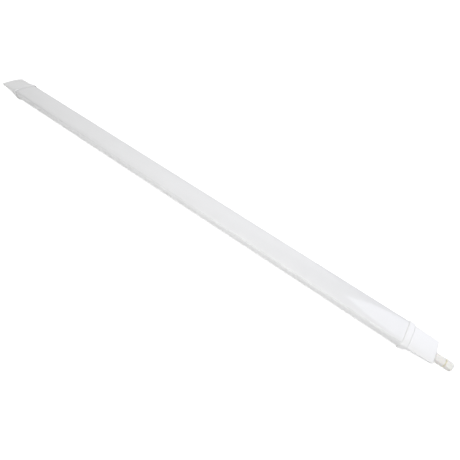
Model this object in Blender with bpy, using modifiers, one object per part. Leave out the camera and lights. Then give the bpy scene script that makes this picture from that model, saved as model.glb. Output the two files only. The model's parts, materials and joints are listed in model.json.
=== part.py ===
# Slim weatherproof batten light, diffuser up, its long axis along X with the cable entry at +X.
# The origin is the centre of the flat back of the housing. All lengths are in metres.
import math
from collections import namedtuple

import bmesh
import bpy
from mathutils import Matrix, Vector

# Housing tube
TUBE_LENGTH = 1.0900
HALF_WIDTH = 0.0300
WIDEST_HEIGHT = 0.0225
CROWN_HEIGHT = 0.0280
BACK_HALF_WIDTH = 0.0159
DOME_POWER = 2.36
SIDE_POWER = 1.64
BASE_WALL = 0.0018
FLOOR_WALL = 0.0018
LIP_HEIGHT = 0.0238
LIP_WALL = 0.0011
LIP_ROUND = 0.0004
SHELF_DEPTH = 0.0037
SHELF_TOP = 0.0224
CLIP_GROOVE_TOP = 0.0150
CLIP_GROOVE_WIDTH = 0.0028
CLIP_GROOVE_DEPTH = 0.0007
DIFFUSER_WALL = 0.0016

# Clearances
GAP = 0.0003
OVERRUN = 0.0020

# Collars and caps
COLLAR_LENGTH = 0.0122
COLLAR_PROUD = 0.0023
COLLAR_LIP = 0.0009
COLLAR_ROUND = 0.0024
COLLAR_EASE = 1.5
COLLAR_SEAT_SKIM = 0.0003
COLLAR_SEAT_MARGIN = 0.0006
TUBE_SEAT = 0.0040
GASKET_THICKNESS = 0.0015
GASKET_WIDTH = 0.0026
CAP_REACH = 0.0468
CAP_WALL = 0.0020
NECK_INSET = 0.0014
CAP_END_WALL = 0.0030
CAP_ROUND = 0.0022
CAP_MOUTH_HALF_WIDTH = 0.0298
CAP_MOUTH_WIDEST = 0.0212
CAP_MOUTH_CROWN = 0.0276
CAP_MOUTH_BACK = 0.0004
CAP_MOUTH_BACK_HALF = 0.0106
CAP_MOUTH_POWER = 1.36
CAP_TIP_HALF_WIDTH = 0.0283
CAP_TIP_WIDEST = 0.0210
CAP_TIP_CROWN = 0.0242
CAP_TIP_BACK = 0.0006
CAP_TIP_BACK_HALF = 0.0067
CAP_TIP_POWER = 1.22
CAP_DOME_POWER = 2.04

# Cap screws, their ports in the housing and their pillars in the caps
SCREW_SPREAD = 0.0155
SCREW_HEIGHT = 0.0135
SCREW_RADIUS = 0.0015
SCREW_LENGTH = 0.0300
SCREW_HEAD_RADIUS = 0.0028
SCREW_HEAD_HEIGHT = 0.0023
SCREW_HEAD_INSET = 0.0350
PORT_WALL = 0.0013
PORT_WEB = 0.0014
PILLAR_WALL = 0.0012

# Gear tray
TRAY_END_INSET = 0.0060
TRAY_THICKNESS = 0.0012
TRAY_BOTTOM = 0.0175
TRAY_EDGE = 0.0017
TONGUE_LENGTH = 0.0300
TONGUE_HALF_WIDTH = 0.0080
SLOT_LENGTH = 0.0120
SLOT_WIDTH = 0.0040
SLOT_CENTRE = 0.0119
RIB_THICKNESS = 0.0012

# Boards with their light packages
BOARD_END_INSET = 0.0140
BOARD_SPACING = 0.0060
BOARD_HALF_WIDTH = 0.0090
BOARD_THICKNESS = 0.0015
PACKAGE_COUNT = 28
PACKAGE_LENGTH = 0.0035
PACKAGE_WIDTH = 0.0028
PACKAGE_HEIGHT = 0.0008
LINK_LENGTH = 0.0160
LINK_HALF_WIDTH = 0.0040
LINK_HEIGHT = 0.0022
SMALL_SCREW_RADIUS = 0.0012
SMALL_HEAD_RADIUS = 0.0024
SMALL_HEAD_HEIGHT = 0.0014
BOARD_SCREW_INSET = 0.0120
BOARD_SCREW_OFFSET = 0.0055

# Driver
DRIVER_LENGTH = 0.2400
DRIVER_HALF_WIDTH = 0.0115
DRIVER_HEIGHT = 0.0112
DRIVER_WALL = 0.0014
DRIVER_LID_THICKNESS = 0.0014
DRIVER_EAR = 0.0095
DRIVER_END_INSET = 0.0550
DRIVER_ROUND = 0.0008
DRIVER_BOARD_THICKNESS = 0.0014
CORE_LENGTH = 0.0180
CORE_HALF_WIDTH = 0.0080
CORE_HEIGHT = 0.0068
WINDING_LENGTH = 0.0100
CAPACITOR_RADIUS = 0.0032
CAPACITOR_LENGTH = 0.0200
PART_SPACING = 0.0500

# Terminal block and its release buttons
POLE_COUNT = 3
POLE_PITCH = 0.0068
BLOCK_LENGTH = 0.0200
BLOCK_HEIGHT = 0.0118
BLOCK_ROUND = 0.0006
BLOCK_OFFSET = 0.0095
ENTRY_RADIUS = 0.0014
ENTRY_DEPTH = 0.0060
ENTRY_DROP = 0.0088
BUTTON_DROP = 0.0036
BUTTON_WIDTH = 0.0036
BUTTON_HEIGHT = 0.0026
BUTTON_LENGTH = 0.0062
BUTTON_PROUD = 0.0018
BUTTON_TRAVEL = 0.0012
BUTTON_ROUND = 0.0003

# Leads
LEAD_RADIUS = 0.0008
LEAD_REACH = 0.0040
LEAD_RUN = 0.0070
DRIVER_LEAD_SPREAD = 0.0050
LED_LEAD_SPACING = 0.0060
EARTH_POINT = 0.0180
TAG_RADIUS = 0.0034
TAG_THICKNESS = 0.0008
TAG_TAIL = 0.0070

# Cable gland
GLAND_HEIGHT = 0.0105
HEX_ACROSS = 0.0158
HEX_TURN_DEGREES = 8.0
HEX_CHAMFER = 0.0007
HEX_LENGTH = 0.0184
THREAD_RADIUS = 0.0060
THREAD_CLEARANCE = 0.0003
THREAD_CHAMFER = 0.0004
SHANK_LENGTH = 0.0140
NECK_LENGTH = 0.0100
GLAND_BORE = 0.0039
SEAL_SEAT_RADIUS = 0.0051
SEAL_LENGTH = 0.0060
SEAL_BORE = 0.0035
CLAW_SLIT = 0.0009
CLAW_LENGTH = 0.0034
CLAW_PAIRS = 3
CLAW_TURN_DEGREES = 21.0
WASHER_THICKNESS = 0.0010
WASHER_RADIUS = 0.0076
RING_RADIUS = 0.0086
RING_THICKNESS = 0.0010
LOCKNUT_THICKNESS = 0.0042
LOCKNUT_ACROSS = 0.0150
LOCKNUT_TURN_DEGREES = 30.0
LOCKNUT_CLEARANCE = 0.00015
SLIP_THICKNESS = 0.0009
SLIP_RADIUS = 0.0056
SLIP_BORE = 0.0036
NUT_LENGTH = 0.0131
NUT_HEX_LENGTH = 0.0078
NUT_FRONT_WALL = 0.0022
NUT_FRONT_RADIUS = 0.0052
NUT_MOUTH = 0.0038

# Fineness of the curved surfaces
DOME_STEPS = 28
SIDE_STEPS = 8
ROUNDING_STEPS = 3
ROUND_SIDES = 28
SMALL_SIDES = 14
CURVE_STEPS = 5

# Places that follow from the sizes above
COLLAR_START = TUBE_LENGTH / 2 - TUBE_SEAT
COLLAR_END = COLLAR_START + COLLAR_LENGTH
CAP_START = TUBE_LENGTH / 2 + GAP + GASKET_THICKNESS + GAP
CAP_SHOULDER = COLLAR_END + GAP
CAP_END = COLLAR_END + CAP_REACH
TRAY_END = TUBE_LENGTH / 2 - TRAY_END_INSET
TRAY_TOP = TRAY_BOTTOM + TRAY_THICKNESS
GROOVE_BOTTOM = TRAY_BOTTOM - GAP
GROOVE_TOP = TRAY_TOP + GAP
BOARD_LENGTH = TRAY_END - BOARD_END_INSET - BOARD_SPACING / 2
BOARD_BOTTOM = TRAY_TOP + GAP
BOARD_TOP = BOARD_BOTTOM + BOARD_THICKNESS
SHELF_HALF = HALF_WIDTH - LIP_WALL - SHELF_DEPTH
TRAY_HALF_WIDTH = SHELF_HALF + TRAY_EDGE
DIFFUSER_HALF_WIDTH = HALF_WIDTH - LIP_WALL - GAP
LID_TOP = TRAY_BOTTOM - GAP
LID_BOTTOM = LID_TOP - DRIVER_LID_THICKNESS
CASE_TOP = LID_BOTTOM - GAP
CASE_BOTTOM = CASE_TOP - DRIVER_HEIGHT
DRIVER_END = TUBE_LENGTH / 2 - DRIVER_END_INSET
DRIVER_START = DRIVER_END - DRIVER_LENGTH
DRIVER_BOARD_BOTTOM = CASE_BOTTOM + DRIVER_WALL + GAP
DRIVER_BOARD_TOP = DRIVER_BOARD_BOTTOM + DRIVER_BOARD_THICKNESS
BLOCK_TOP = TRAY_BOTTOM - GAP
BLOCK_BOTTOM = BLOCK_TOP - BLOCK_HEIGHT
BLOCK_START = TUBE_LENGTH / 2 + BLOCK_OFFSET
BLOCK_END = BLOCK_START + BLOCK_LENGTH
BLOCK_HALF_WIDTH = POLE_PITCH * POLE_COUNT / 2
ENTRY_HEIGHT = BLOCK_TOP - ENTRY_DROP
BUTTON_CENTRE = BLOCK_TOP - BUTTON_DROP
TERMINAL_SCREW_X = BLOCK_START + BLOCK_LENGTH / 3
TERMINAL_SCREW_LENGTH = TRAY_THICKNESS + BLOCK_HEIGHT / 2
WASHER_START = CAP_END + GAP
HEX_START = WASHER_START + WASHER_THICKNESS + GAP
HEX_END = HEX_START + HEX_LENGTH
RING_START = HEX_END + GAP
NUT_START = RING_START + RING_THICKNESS + GAP
NUT_END = NUT_START + NUT_LENGTH
NECK_END = HEX_END + NECK_LENGTH
NUT_CAVITY_END = NUT_END - NUT_FRONT_WALL
SLIP_START = NUT_CAVITY_END - GAP - SLIP_THICKNESS
SEAL_START = NECK_END - SEAL_LENGTH
LOCKNUT_START = CAP_END - CAP_END_WALL - GAP - LOCKNUT_THICKNESS
EARTH_X = TUBE_LENGTH / 2 - EARTH_POINT
SLOT_X = DRIVER_START - DRIVER_EAR - SLOT_LENGTH

Section = namedtuple("Section", "half widest crown back_half back dome_power side_power")
TUBE = Section(HALF_WIDTH, WIDEST_HEIGHT, CROWN_HEIGHT, BACK_HALF_WIDTH, 0, DOME_POWER, SIDE_POWER)
MOUTH = Section(
    CAP_MOUTH_HALF_WIDTH, CAP_MOUTH_WIDEST, CAP_MOUTH_CROWN, CAP_MOUTH_BACK_HALF,
    CAP_MOUTH_BACK, CAP_DOME_POWER, CAP_MOUTH_POWER,
)
TIP = Section(
    CAP_TIP_HALF_WIDTH, CAP_TIP_WIDEST, CAP_TIP_CROWN, CAP_TIP_BACK_HALF,
    CAP_TIP_BACK, CAP_DOME_POWER, CAP_TIP_POWER,
)

# Turns a flat outline drawn in X and Y so that it stands across the light and is extruded along it
ACROSS = Matrix(((0, 0, 1), (1, 0, 0), (0, 1, 0))).to_4x4()


def clear_scene():
    """Remove what the scene holds, and make the two collections."""
    for obj in list(bpy.data.objects):
        bpy.data.objects.remove(obj, do_unlink=True)
    made = []
    for name in ("vapor_tight_light", "cutters"):
        collection = bpy.data.collections.new(name)
        bpy.context.scene.collection.children.link(collection)
        made.append(collection)
    return made


PARTS, CUTTERS = clear_scene()


def material(name, colour, roughness, metallic=0.0):
    """Return a plain material with a colour, a roughness and a metallic value."""
    made = bpy.data.materials.new(name)
    made.use_nodes = True
    shader = made.node_tree.nodes["Principled BSDF"]
    shader.inputs["Base Color"].default_value = (*colour, 1.0)
    shader.inputs["Roughness"].default_value = roughness
    shader.inputs["Metallic"].default_value = metallic
    return made


def finish(obj, made_of=None):
    """Keep an object as a part of its material, or as a cutter when it has none."""
    for collection in list(obj.users_collection):
        collection.objects.unlink(obj)
    if made_of is None:
        CUTTERS.objects.link(obj)
        obj.hide_render = True
        obj.display_type = "WIRE"
    else:
        PARTS.objects.link(obj)
        obj.data.materials.clear()
        obj.data.materials.append(made_of)
        if obj.type == "MESH":
            obj.data.shade_smooth()
            obj.data.set_sharp_from_angle(angle=math.radians(30))
    return obj


def combine(target, tool, operation):
    """Cut, join or intersect a part with a tool."""
    modifier = target.modifiers.new(tool.name, "BOOLEAN")
    modifier.operation = operation
    modifier.solver = "EXACT"
    modifier.object = tool
    return target


def mesh_object(name, bm, made_of=None):
    """Make an object of a bmesh whose faces are turned outwards."""
    bmesh.ops.recalc_face_normals(bm, faces=bm.faces)
    mesh = bpy.data.meshes.new(name)
    bm.to_mesh(mesh)
    bm.free()
    obj = bpy.data.objects.new(name, mesh)
    PARTS.objects.link(obj)
    return finish(obj, made_of)


def flat_outline(name, outlines, low, high, made_of=None, turned=ACROSS):
    """Extrude flat outlines from low to high, with every outline after the first as a hole."""
    data = bpy.data.curves.new(name + "_outline", "CURVE")
    data.dimensions = "2D"
    data.fill_mode = "BOTH"
    data.extrude = abs(high - low) / 2
    for outline in outlines:
        spline = data.splines.new("POLY")
        spline.points.add(len(outline) - 1)
        for point, (a, b) in zip(spline.points, outline):
            point.co = (a, b, 0, 1)
        spline.use_cyclic_u = True
    curve = bpy.data.objects.new(name + "_outline", data)
    PARTS.objects.link(curve)
    depsgraph = bpy.context.evaluated_depsgraph_get()
    mesh = bpy.data.meshes.new_from_object(curve.evaluated_get(depsgraph))
    bpy.data.objects.remove(curve, do_unlink=True)
    bm = bmesh.new()
    bm.from_mesh(mesh)
    bpy.data.meshes.remove(mesh)
    bmesh.ops.remove_doubles(bm, verts=bm.verts, dist=GAP / 30)
    obj = mesh_object(name, bm, made_of)
    obj.matrix_world = Matrix.Translation(turned @ Vector((0, 0, (low + high) / 2))) @ turned
    return obj


def lofted(name, rings, made_of=None):
    """Skin a row of rings with the same number of points and close both ends."""
    bm = bmesh.new()
    rows = [[bm.verts.new(point) for point in ring] for ring in rings]
    for low, high in zip(rows, rows[1:]):
        for i in range(len(low)):
            k = (i + 1) % len(low)
            bm.faces.new((low[i], low[k], high[k], high[i]))
    bm.faces.new(rows[0])
    bm.faces.new(rows[-1])
    return mesh_object(name, bm, made_of)


def box(name, low, high, made_of=None, rounding=0.0):
    """A box between two corners, with rounded edges where a rounding is given."""
    bpy.ops.mesh.primitive_cube_add(size=1)
    obj = bpy.context.active_object
    obj.name = name
    size = [abs(b - a) for a, b in zip(low, high)]
    obj.data.transform(Matrix.Diagonal((*size, 1.0)))
    obj.location = [(a + b) / 2 for a, b in zip(low, high)]
    finish(obj, made_of)
    if rounding:
        bevel = obj.modifiers.new("rounded edges", "BEVEL")
        bevel.width = min(rounding, min(size) / 3)
        bevel.segments = 2
        bevel.limit_method = "ANGLE"
    return obj


def rod(name, radius, low, high, sides=ROUND_SIDES, made_of=None, turn=0.0):
    """A round or many-sided rod between two points that lie along X or along Z."""
    low, high = Vector(low), Vector(high)
    bpy.ops.mesh.primitive_cylinder_add(vertices=sides, radius=radius, depth=(high - low).length)
    obj = bpy.context.active_object
    obj.name = name
    along = (high - low).to_track_quat("Z", "Y").to_matrix().to_4x4()
    obj.matrix_world = Matrix.Translation((low + high) / 2) @ along @ Matrix.Rotation(turn, 4, "Z")
    return finish(obj, made_of)


def lying(name, radius, y, z, low, high, sides=SMALL_SIDES, made_of=None):
    """A rod along X through a place (y, z), from low to high."""
    return rod(name, radius, (low, y, z), (high, y, z), sides, made_of)


def standing(name, radius, x, y, low, high, sides=SMALL_SIDES, made_of=None):
    """A rod along Z at a place (x, y), from low to high."""
    return rod(name, radius, (x, y, low), (x, y, high), sides, made_of)


def turned(name, profile, start, height=GLAND_HEIGHT, across=0.0, sides=ROUND_SIDES, made_of=None, along=1):
    """Turn a profile of (radius, distance along X) pairs about an axis along X."""
    mesh = bpy.data.meshes.new(name)
    points = [(radius, 0, distance) for radius, distance in reversed(profile)]
    edges = [(i, i + 1) for i in range(len(points) - 1)]
    if profile[0][0] > 0:
        edges.append((len(points) - 1, 0))
    mesh.from_pydata(points, edges, [])
    obj = bpy.data.objects.new(name, mesh)
    PARTS.objects.link(obj)
    screw = obj.modifiers.new("turned about its axis", "SCREW")
    screw.angle = math.tau
    screw.steps = sides
    screw.render_steps = sides
    screw.use_merge_vertices = True
    screw.merge_threshold = GAP / 30
    obj.rotation_euler = (0, math.radians(90) * along, 0)
    obj.location = (start, across, height)
    return finish(obj, made_of)


def tube_profile(outer, inner, length):
    """The closed profile of a plain ring: a bore, an outside and a length."""
    return [(inner, 0), (outer, 0), (outer, length), (inner, length)]


def grown(section, by):
    """The same section with its outline moved outwards, or inwards when by is negative."""
    return section._replace(
        half=section.half + by,
        crown=section.crown + by,
        back_half=section.back_half + by / 2,
        back=section.back - by,
    )


def between(first, second, share):
    """A section part of the way from one section to another."""
    return Section(*(a + (b - a) * share for a, b in zip(first, second)))


def side_point(section, angle):
    """A point of the lower side, from the widest height down to the back."""
    y = section.back_half + (section.half - section.back_half) * math.cos(angle) ** (2 / section.side_power)
    z = section.widest - (section.widest - section.back) * math.sin(angle) ** (2 / section.side_power)
    return y, z


def dome_point(section, angle):
    """A point of the dome, from the widest height at +Y over the crown to -Y."""
    flat = math.cos(angle)
    y = section.half * math.copysign(abs(flat) ** (2 / section.dome_power), flat)
    z = section.widest + (section.crown - section.widest) * math.sin(angle) ** (2 / section.dome_power)
    return y, z


def side_y(section, height):
    """Half the width of the lower side at a height."""
    drop = (section.widest - height) / (section.widest - section.back)
    reach = (1 - drop ** section.side_power) ** (1 / section.side_power)
    return section.back_half + (section.half - section.back_half) * reach


def dome_z(section, y):
    """The height of the dome at a distance from the middle."""
    share = (abs(y) / section.half) ** section.dome_power
    return section.widest + (section.crown - section.widest) * (1 - share) ** (1 / section.dome_power)


def loop(section):
    """The whole outline of a section as (y, z) points."""
    dome = [dome_point(section, math.pi * i / DOME_STEPS) for i in range(DOME_STEPS + 1)]
    quarter = math.pi / 2
    right = [side_point(section, quarter * i / SIDE_STEPS) for i in range(1, SIDE_STEPS + 1)]
    left = [(-y, z) for y, z in right]
    return dome + left + right[::-1]


def ring(section, x):
    """A section's outline standing at a place along the light."""
    return [(x, y, z) for y, z in loop(section)]


def mirrored(points):
    """The same points on the other side of the middle."""
    return [(-y, z) for y, z in points]


def screw(name, shank, head, head_height, length, tip, head_side, made_of):
    """A round-headed screw from the underside of its head to its tip; head_side points to the head."""
    tip, head_side = Vector(tip), Vector(head_side)
    seat = tip + head_side * length
    obj = rod(name, head, seat, seat + head_side * head_height, SMALL_SIDES, made_of)
    shaft = rod(name + "_shaft", shank, tip, seat + head_side * head_height / 2, SMALL_SIDES)
    slot = rod(
        name + "_recess", head / 3, seat + head_side * head_height / 2,
        seat + head_side * (head_height + OVERRUN), 6,
    )
    combine(obj, shaft, "UNION")
    combine(obj, slot, "DIFFERENCE")
    return obj


def smooth_route(points, steps=CURVE_STEPS):
    """Points along a smooth curve that passes through the given points."""
    points = [Vector(point) for point in points]
    row = [points[0] * 2 - points[1], *points, points[-1] * 2 - points[-2]]
    route = []
    for a, b, c, d in zip(row, row[1:], row[2:], row[3:]):
        slope = c - a
        bend = a * 2 - b * 5 + c * 4 - d
        twist = b * 3 - a - c * 3 + d
        for i in range(steps):
            t = i / steps
            route.append(b + (slope * t + bend * t ** 2 + twist * t ** 3) / 2)
    route.append(points[-1])
    return route


def lead(name, points, made_of):
    """An insulated lead along a smooth route."""
    data = bpy.data.curves.new(name, "CURVE")
    data.dimensions = "3D"
    data.bevel_depth = LEAD_RADIUS
    data.bevel_resolution = 2
    data.use_fill_caps = True
    route = smooth_route(points)
    spline = data.splines.new("POLY")
    spline.points.add(len(route) - 1)
    for point, place in zip(spline.points, route):
        point.co = (*place, 1)
    obj = bpy.data.objects.new(name, data)
    PARTS.objects.link(obj)
    return finish(obj, made_of)


WHITE = material("white_polycarbonate", (0.86, 0.87, 0.88), 0.35)
OPAL = material("opal_polycarbonate", (0.80, 0.83, 0.86), 0.22)
NYLON = material("natural_nylon", (0.80, 0.78, 0.72), 0.45)
CREAM = material("cream_silicone", (0.78, 0.70, 0.45), 0.55)
RUBBER = material("grey_silicone", (0.35, 0.35, 0.36), 0.70)
BLACK_RUBBER = material("black_rubber", (0.03, 0.03, 0.03), 0.75)
ALUMINIUM = material("white_coated_aluminium", (0.82, 0.83, 0.84), 0.40, 0.2)
STEEL = material("zinc_plated_steel", (0.66, 0.67, 0.68), 0.30, 1.0)
BOARD = material("white_solder_resist", (0.88, 0.88, 0.86), 0.45)
DRIVER_WHITE = material("driver_shell", (0.80, 0.80, 0.78), 0.50)
GREEN_BOARD = material("green_circuit_board", (0.03, 0.20, 0.08), 0.40)
FERRITE = material("ferrite_and_tape", (0.55, 0.45, 0.10), 0.50)
SLEEVE = material("capacitor_sleeve", (0.02, 0.02, 0.03), 0.35)
GREY_BLOCK = material("grey_polyamide", (0.62, 0.62, 0.62), 0.45)
ORANGE = material("orange_polyamide", (0.85, 0.30, 0.05), 0.45)
BROWN_LEAD = material("brown_insulation", (0.20, 0.08, 0.03), 0.50)
BLUE_LEAD = material("blue_insulation", (0.03, 0.12, 0.45), 0.50)
EARTH_LEAD = material("green_yellow_insulation", (0.25, 0.50, 0.06), 0.50)
RED_LEAD = material("red_insulation", (0.55, 0.03, 0.03), 0.50)
BLACK_LEAD = material("black_insulation", (0.03, 0.03, 0.03), 0.50)
TINNED = material("tinned_copper", (0.75, 0.72, 0.68), 0.30, 1.0)


def housing_base():
    """The extruded hull: a flat back skimmed for the collars, a lip, a diffuser shelf and tray grooves."""
    inner = grown(TUBE, -BASE_WALL)._replace(back=FLOOR_WALL)
    lip = HALF_WIDTH - LIP_WALL
    side = [side_point(TUBE, math.pi / 2 * i / SIDE_STEPS) for i in range(SIDE_STEPS + 1)]
    groove_bottom = CLIP_GROOVE_TOP - CLIP_GROOVE_WIDTH
    groove = [
        (side_y(TUBE, CLIP_GROOVE_TOP), CLIP_GROOVE_TOP),
        (side_y(TUBE, CLIP_GROOVE_TOP) - CLIP_GROOVE_DEPTH, CLIP_GROOVE_TOP - CLIP_GROOVE_DEPTH),
        (side_y(TUBE, groove_bottom) - CLIP_GROOVE_DEPTH, groove_bottom + CLIP_GROOVE_DEPTH),
        (side_y(TUBE, groove_bottom), groove_bottom),
    ]
    above = [point for point in side if point[1] > CLIP_GROOVE_TOP + GAP]
    below = [point for point in side if point[1] < groove_bottom - GAP]
    outer_half = [
        (lip, LIP_HEIGHT),
        (lip + LIP_WALL / 3, LIP_HEIGHT),
        (HALF_WIDTH - LIP_ROUND, LIP_HEIGHT - LIP_ROUND),
        *above, *groove, *below,
    ]
    rib_bottom = GROOVE_BOTTOM - RIB_THICKNESS
    groove_floor = TRAY_HALF_WIDTH + GAP
    inner_side = [side_point(inner, math.pi / 2 * i / SIDE_STEPS) for i in range(SIDE_STEPS + 1)]
    inner_half = [
        (lip, SHELF_TOP), (SHELF_HALF, SHELF_TOP), (SHELF_HALF, GROOVE_TOP), (groove_floor, GROOVE_TOP),
        (groove_floor, GROOVE_BOTTOM), (SHELF_HALF, GROOVE_BOTTOM), (SHELF_HALF, rib_bottom),
        (side_y(inner, rib_bottom), rib_bottom),
        *(point for point in inner_side if point[1] < rib_bottom - GAP),
    ]
    outline = outer_half + mirrored(outer_half)[::-1] + mirrored(inner_half) + inner_half[::-1]
    base = flat_outline("housing_base", [outline], -TUBE_LENGTH / 2, TUBE_LENGTH / 2, WHITE)
    end = TUBE_LENGTH / 2 - GAP
    port = SCREW_RADIUS + GAP + PORT_WALL
    for side_name, sign in (("left", 1), ("right", -1)):
        y = SCREW_SPREAD * sign
        tube = lying(f"port_{side_name}", port, y, SCREW_HEIGHT, -end, end)
        web_end = (side_y(TUBE, SCREW_HEIGHT) - BASE_WALL * 2 / 3) * sign
        web = box(
            f"port_web_{side_name}", (-end + GAP, y, SCREW_HEIGHT - PORT_WEB / 2),
            (end - GAP, web_end, SCREW_HEIGHT + PORT_WEB / 2),
        )
        bore = lying(
            f"port_bore_{side_name}", SCREW_RADIUS + GAP, y, SCREW_HEIGHT, -end - OVERRUN, end + OVERRUN,
        )
        combine(base, tube, "UNION")
        combine(base, web, "UNION")
        combine(base, bore, "DIFFERENCE")
    for sign in (-1, 1):
        seat = box(
            "collar_seat", ((COLLAR_START - COLLAR_SEAT_MARGIN) * sign, -HALF_WIDTH, -OVERRUN),
            ((TUBE_LENGTH / 2 + OVERRUN) * sign, HALF_WIDTH, COLLAR_SEAT_SKIM),
        )
        combine(base, seat, "DIFFERENCE")
    return base


def diffuser():
    """The milky cover: the dome of the section, cut off at the lip and standing on the shelf."""
    inner = grown(TUBE, -DIFFUSER_WALL)
    inner_half_width = DIFFUSER_HALF_WIDTH - DIFFUSER_WALL
    foot = SHELF_TOP + GAP

    def dome_row(section, reach):
        row = [dome_point(section, math.pi * i / DOME_STEPS) for i in range(DOME_STEPS + 1)]
        kept = [point for point in row if abs(point[0]) < reach - GAP]
        edge = dome_z(section, reach)
        return [(reach, edge), *kept, (-reach, edge)]

    outer_row = dome_row(TUBE, DIFFUSER_HALF_WIDTH)
    inner_row = dome_row(inner, inner_half_width)
    outline = [(DIFFUSER_HALF_WIDTH, foot), *outer_row, (-DIFFUSER_HALF_WIDTH, foot)]
    outline += [(-inner_half_width, foot), *inner_row[::-1], (inner_half_width, foot)]
    return flat_outline("diffuser", [outline], -TUBE_LENGTH / 2, TUBE_LENGTH / 2, OPAL)


def collar(name, sign):
    """The ring over a tube end: a rounded band with a pocket for the tube and a narrower one for the cap."""
    stations = []
    for i in range(ROUNDING_STEPS + 1):
        angle = math.pi / 2 * i / ROUNDING_STEPS
        proud = COLLAR_LIP + (COLLAR_PROUD - COLLAR_LIP) * math.sin(angle)
        stations.append((COLLAR_START + COLLAR_ROUND * (1 - math.cos(angle)), proud))
    stations += [(COLLAR_START + COLLAR_END - x, proud) for x, proud in reversed(stations)]
    rings = []
    for x, proud in stations:
        share = ((x - COLLAR_START) / COLLAR_LENGTH) ** COLLAR_EASE
        rings.append(ring(grown(between(TUBE, MOUTH, share), proud), x * sign))
    band = lofted(name, rings, WHITE)
    for use, section, low, high in (
        ("tube_pocket", grown(TUBE, GAP), COLLAR_START - OVERRUN, CAP_START),
        ("neck_pocket", grown(MOUTH, GAP - NECK_INSET), COLLAR_START - OVERRUN, COLLAR_END + OVERRUN),
    ):
        pocket = lofted(f"{name}_{use}", [ring(section, low * sign), ring(section, high * sign)])
        combine(band, pocket, "DIFFERENCE")
    return band


def gasket(name, sign):
    """The soft frame squeezed between the tube's end and the cap's neck."""
    low = TUBE_LENGTH / 2 + GAP
    ends = sorted((low * sign, (low + GASKET_THICKNESS) * sign))
    return flat_outline(name, [loop(TUBE), loop(grown(TUBE, -GASKET_WIDTH))[::-1]], *ends, RUBBER)


def cap(name, sign):
    """A hollow end cap: a neck inside the collar, then a body that tapers to a rounded end face."""
    neck = grown(MOUTH, -NECK_INSET)
    rings = [ring(neck, CAP_START), ring(neck, CAP_SHOULDER), ring(MOUTH, CAP_SHOULDER)]
    for i in range(ROUNDING_STEPS + 1):
        angle = math.pi / 2 * i / ROUNDING_STEPS
        rounded = grown(TIP, -CAP_ROUND * (1 - math.cos(angle)))
        rings.append(ring(rounded, CAP_END - CAP_ROUND * (1 - math.sin(angle))))
    rings = [[(x * sign, y, z) for x, y, z in points] for points in rings]
    shell = lofted(name, rings, WHITE)
    inside_end = CAP_END - CAP_END_WALL
    hollow = [
        ring(grown(neck, -CAP_WALL), CAP_START - OVERRUN),
        ring(grown(neck, -CAP_WALL), CAP_SHOULDER + CAP_WALL),
        ring(grown(TIP, -CAP_WALL), inside_end),
    ]
    hollow = [[(x * sign, y, z) for x, y, z in points] for points in hollow]
    combine(shell, lofted(name + "_hollow", hollow), "DIFFERENCE")
    seat = CAP_END - SCREW_HEAD_INSET
    counterbore = SCREW_HEAD_RADIUS + GAP
    for side_name, side in (("left", 1), ("right", -1)):
        y = SCREW_SPREAD * side
        for use, radius, low, high, operation in (
            ("pillar", counterbore + PILLAR_WALL, CAP_START + GAP, inside_end + CAP_END_WALL / 2, "UNION"),
            ("screw_hole", SCREW_RADIUS + GAP, CAP_START - OVERRUN, CAP_END + OVERRUN, "DIFFERENCE"),
            ("counterbore", counterbore, seat, CAP_END + OVERRUN * 2, "DIFFERENCE"),
        ):
            tool = lying(f"{name}_{use}_{side_name}", radius, y, SCREW_HEIGHT, low * sign, high * sign)
            combine(shell, tool, operation)
        screw(
            f"{name}_screw_{side_name}", SCREW_RADIUS, SCREW_HEAD_RADIUS, SCREW_HEAD_HEIGHT, SCREW_LENGTH,
            ((seat + GAP - SCREW_LENGTH) * sign, y, SCREW_HEIGHT), (sign, 0, 0), STEEL,
        )
    return shell


def gear_tray():
    """The coated sheet that carries boards, driver and terminal block, with a tongue into the entry cap."""
    tongue = TRAY_END + TONGUE_LENGTH
    half = [
        (-TRAY_END, TRAY_HALF_WIDTH), (TRAY_END, TRAY_HALF_WIDTH),
        (TRAY_END, TONGUE_HALF_WIDTH), (tongue, TONGUE_HALF_WIDTH),
    ]
    outline = half + [(x, -y) for x, y in reversed(half)]
    tray = flat_outline("gear_tray", [outline], TRAY_BOTTOM, TRAY_TOP, ALUMINIUM, Matrix.Identity(4))
    holes = [(x, y, "board") for x, y in board_screw_places()]
    holes += [(x, 0, "driver") for x in driver_screw_places()]
    holes += [(TERMINAL_SCREW_X, 0, "terminal"), (EARTH_X, -POLE_PITCH, "earth")]
    for i, (x, y, use) in enumerate(holes):
        hole = standing(
            f"tray_hole_{i}_{use}", SMALL_SCREW_RADIUS + GAP, x, y, TRAY_BOTTOM - OVERRUN, TRAY_TOP + OVERRUN,
        )
        combine(tray, hole, "DIFFERENCE")
    slot = box(
        "tray_slot", (SLOT_X - SLOT_LENGTH / 2, SLOT_CENTRE - SLOT_WIDTH / 2, TRAY_BOTTOM - OVERRUN),
        (SLOT_X + SLOT_LENGTH / 2, SLOT_CENTRE + SLOT_WIDTH / 2, TRAY_TOP + OVERRUN),
    )
    return combine(tray, slot, "DIFFERENCE")


def board_starts():
    """Where each board begins along X."""
    return [-BOARD_SPACING / 2 - BOARD_LENGTH, BOARD_SPACING / 2]


def board_screw_places():
    """The two fixing screws of each board."""
    return [
        (start + inset, BOARD_SCREW_OFFSET)
        for start in board_starts()
        for inset in (BOARD_SCREW_INSET, BOARD_LENGTH - BOARD_SCREW_INSET)
    ]


def driver_screw_places():
    """The screw in each ear of the driver lid."""
    return [DRIVER_START - DRIVER_EAR / 2, DRIVER_END + DRIVER_EAR / 2]


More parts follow.
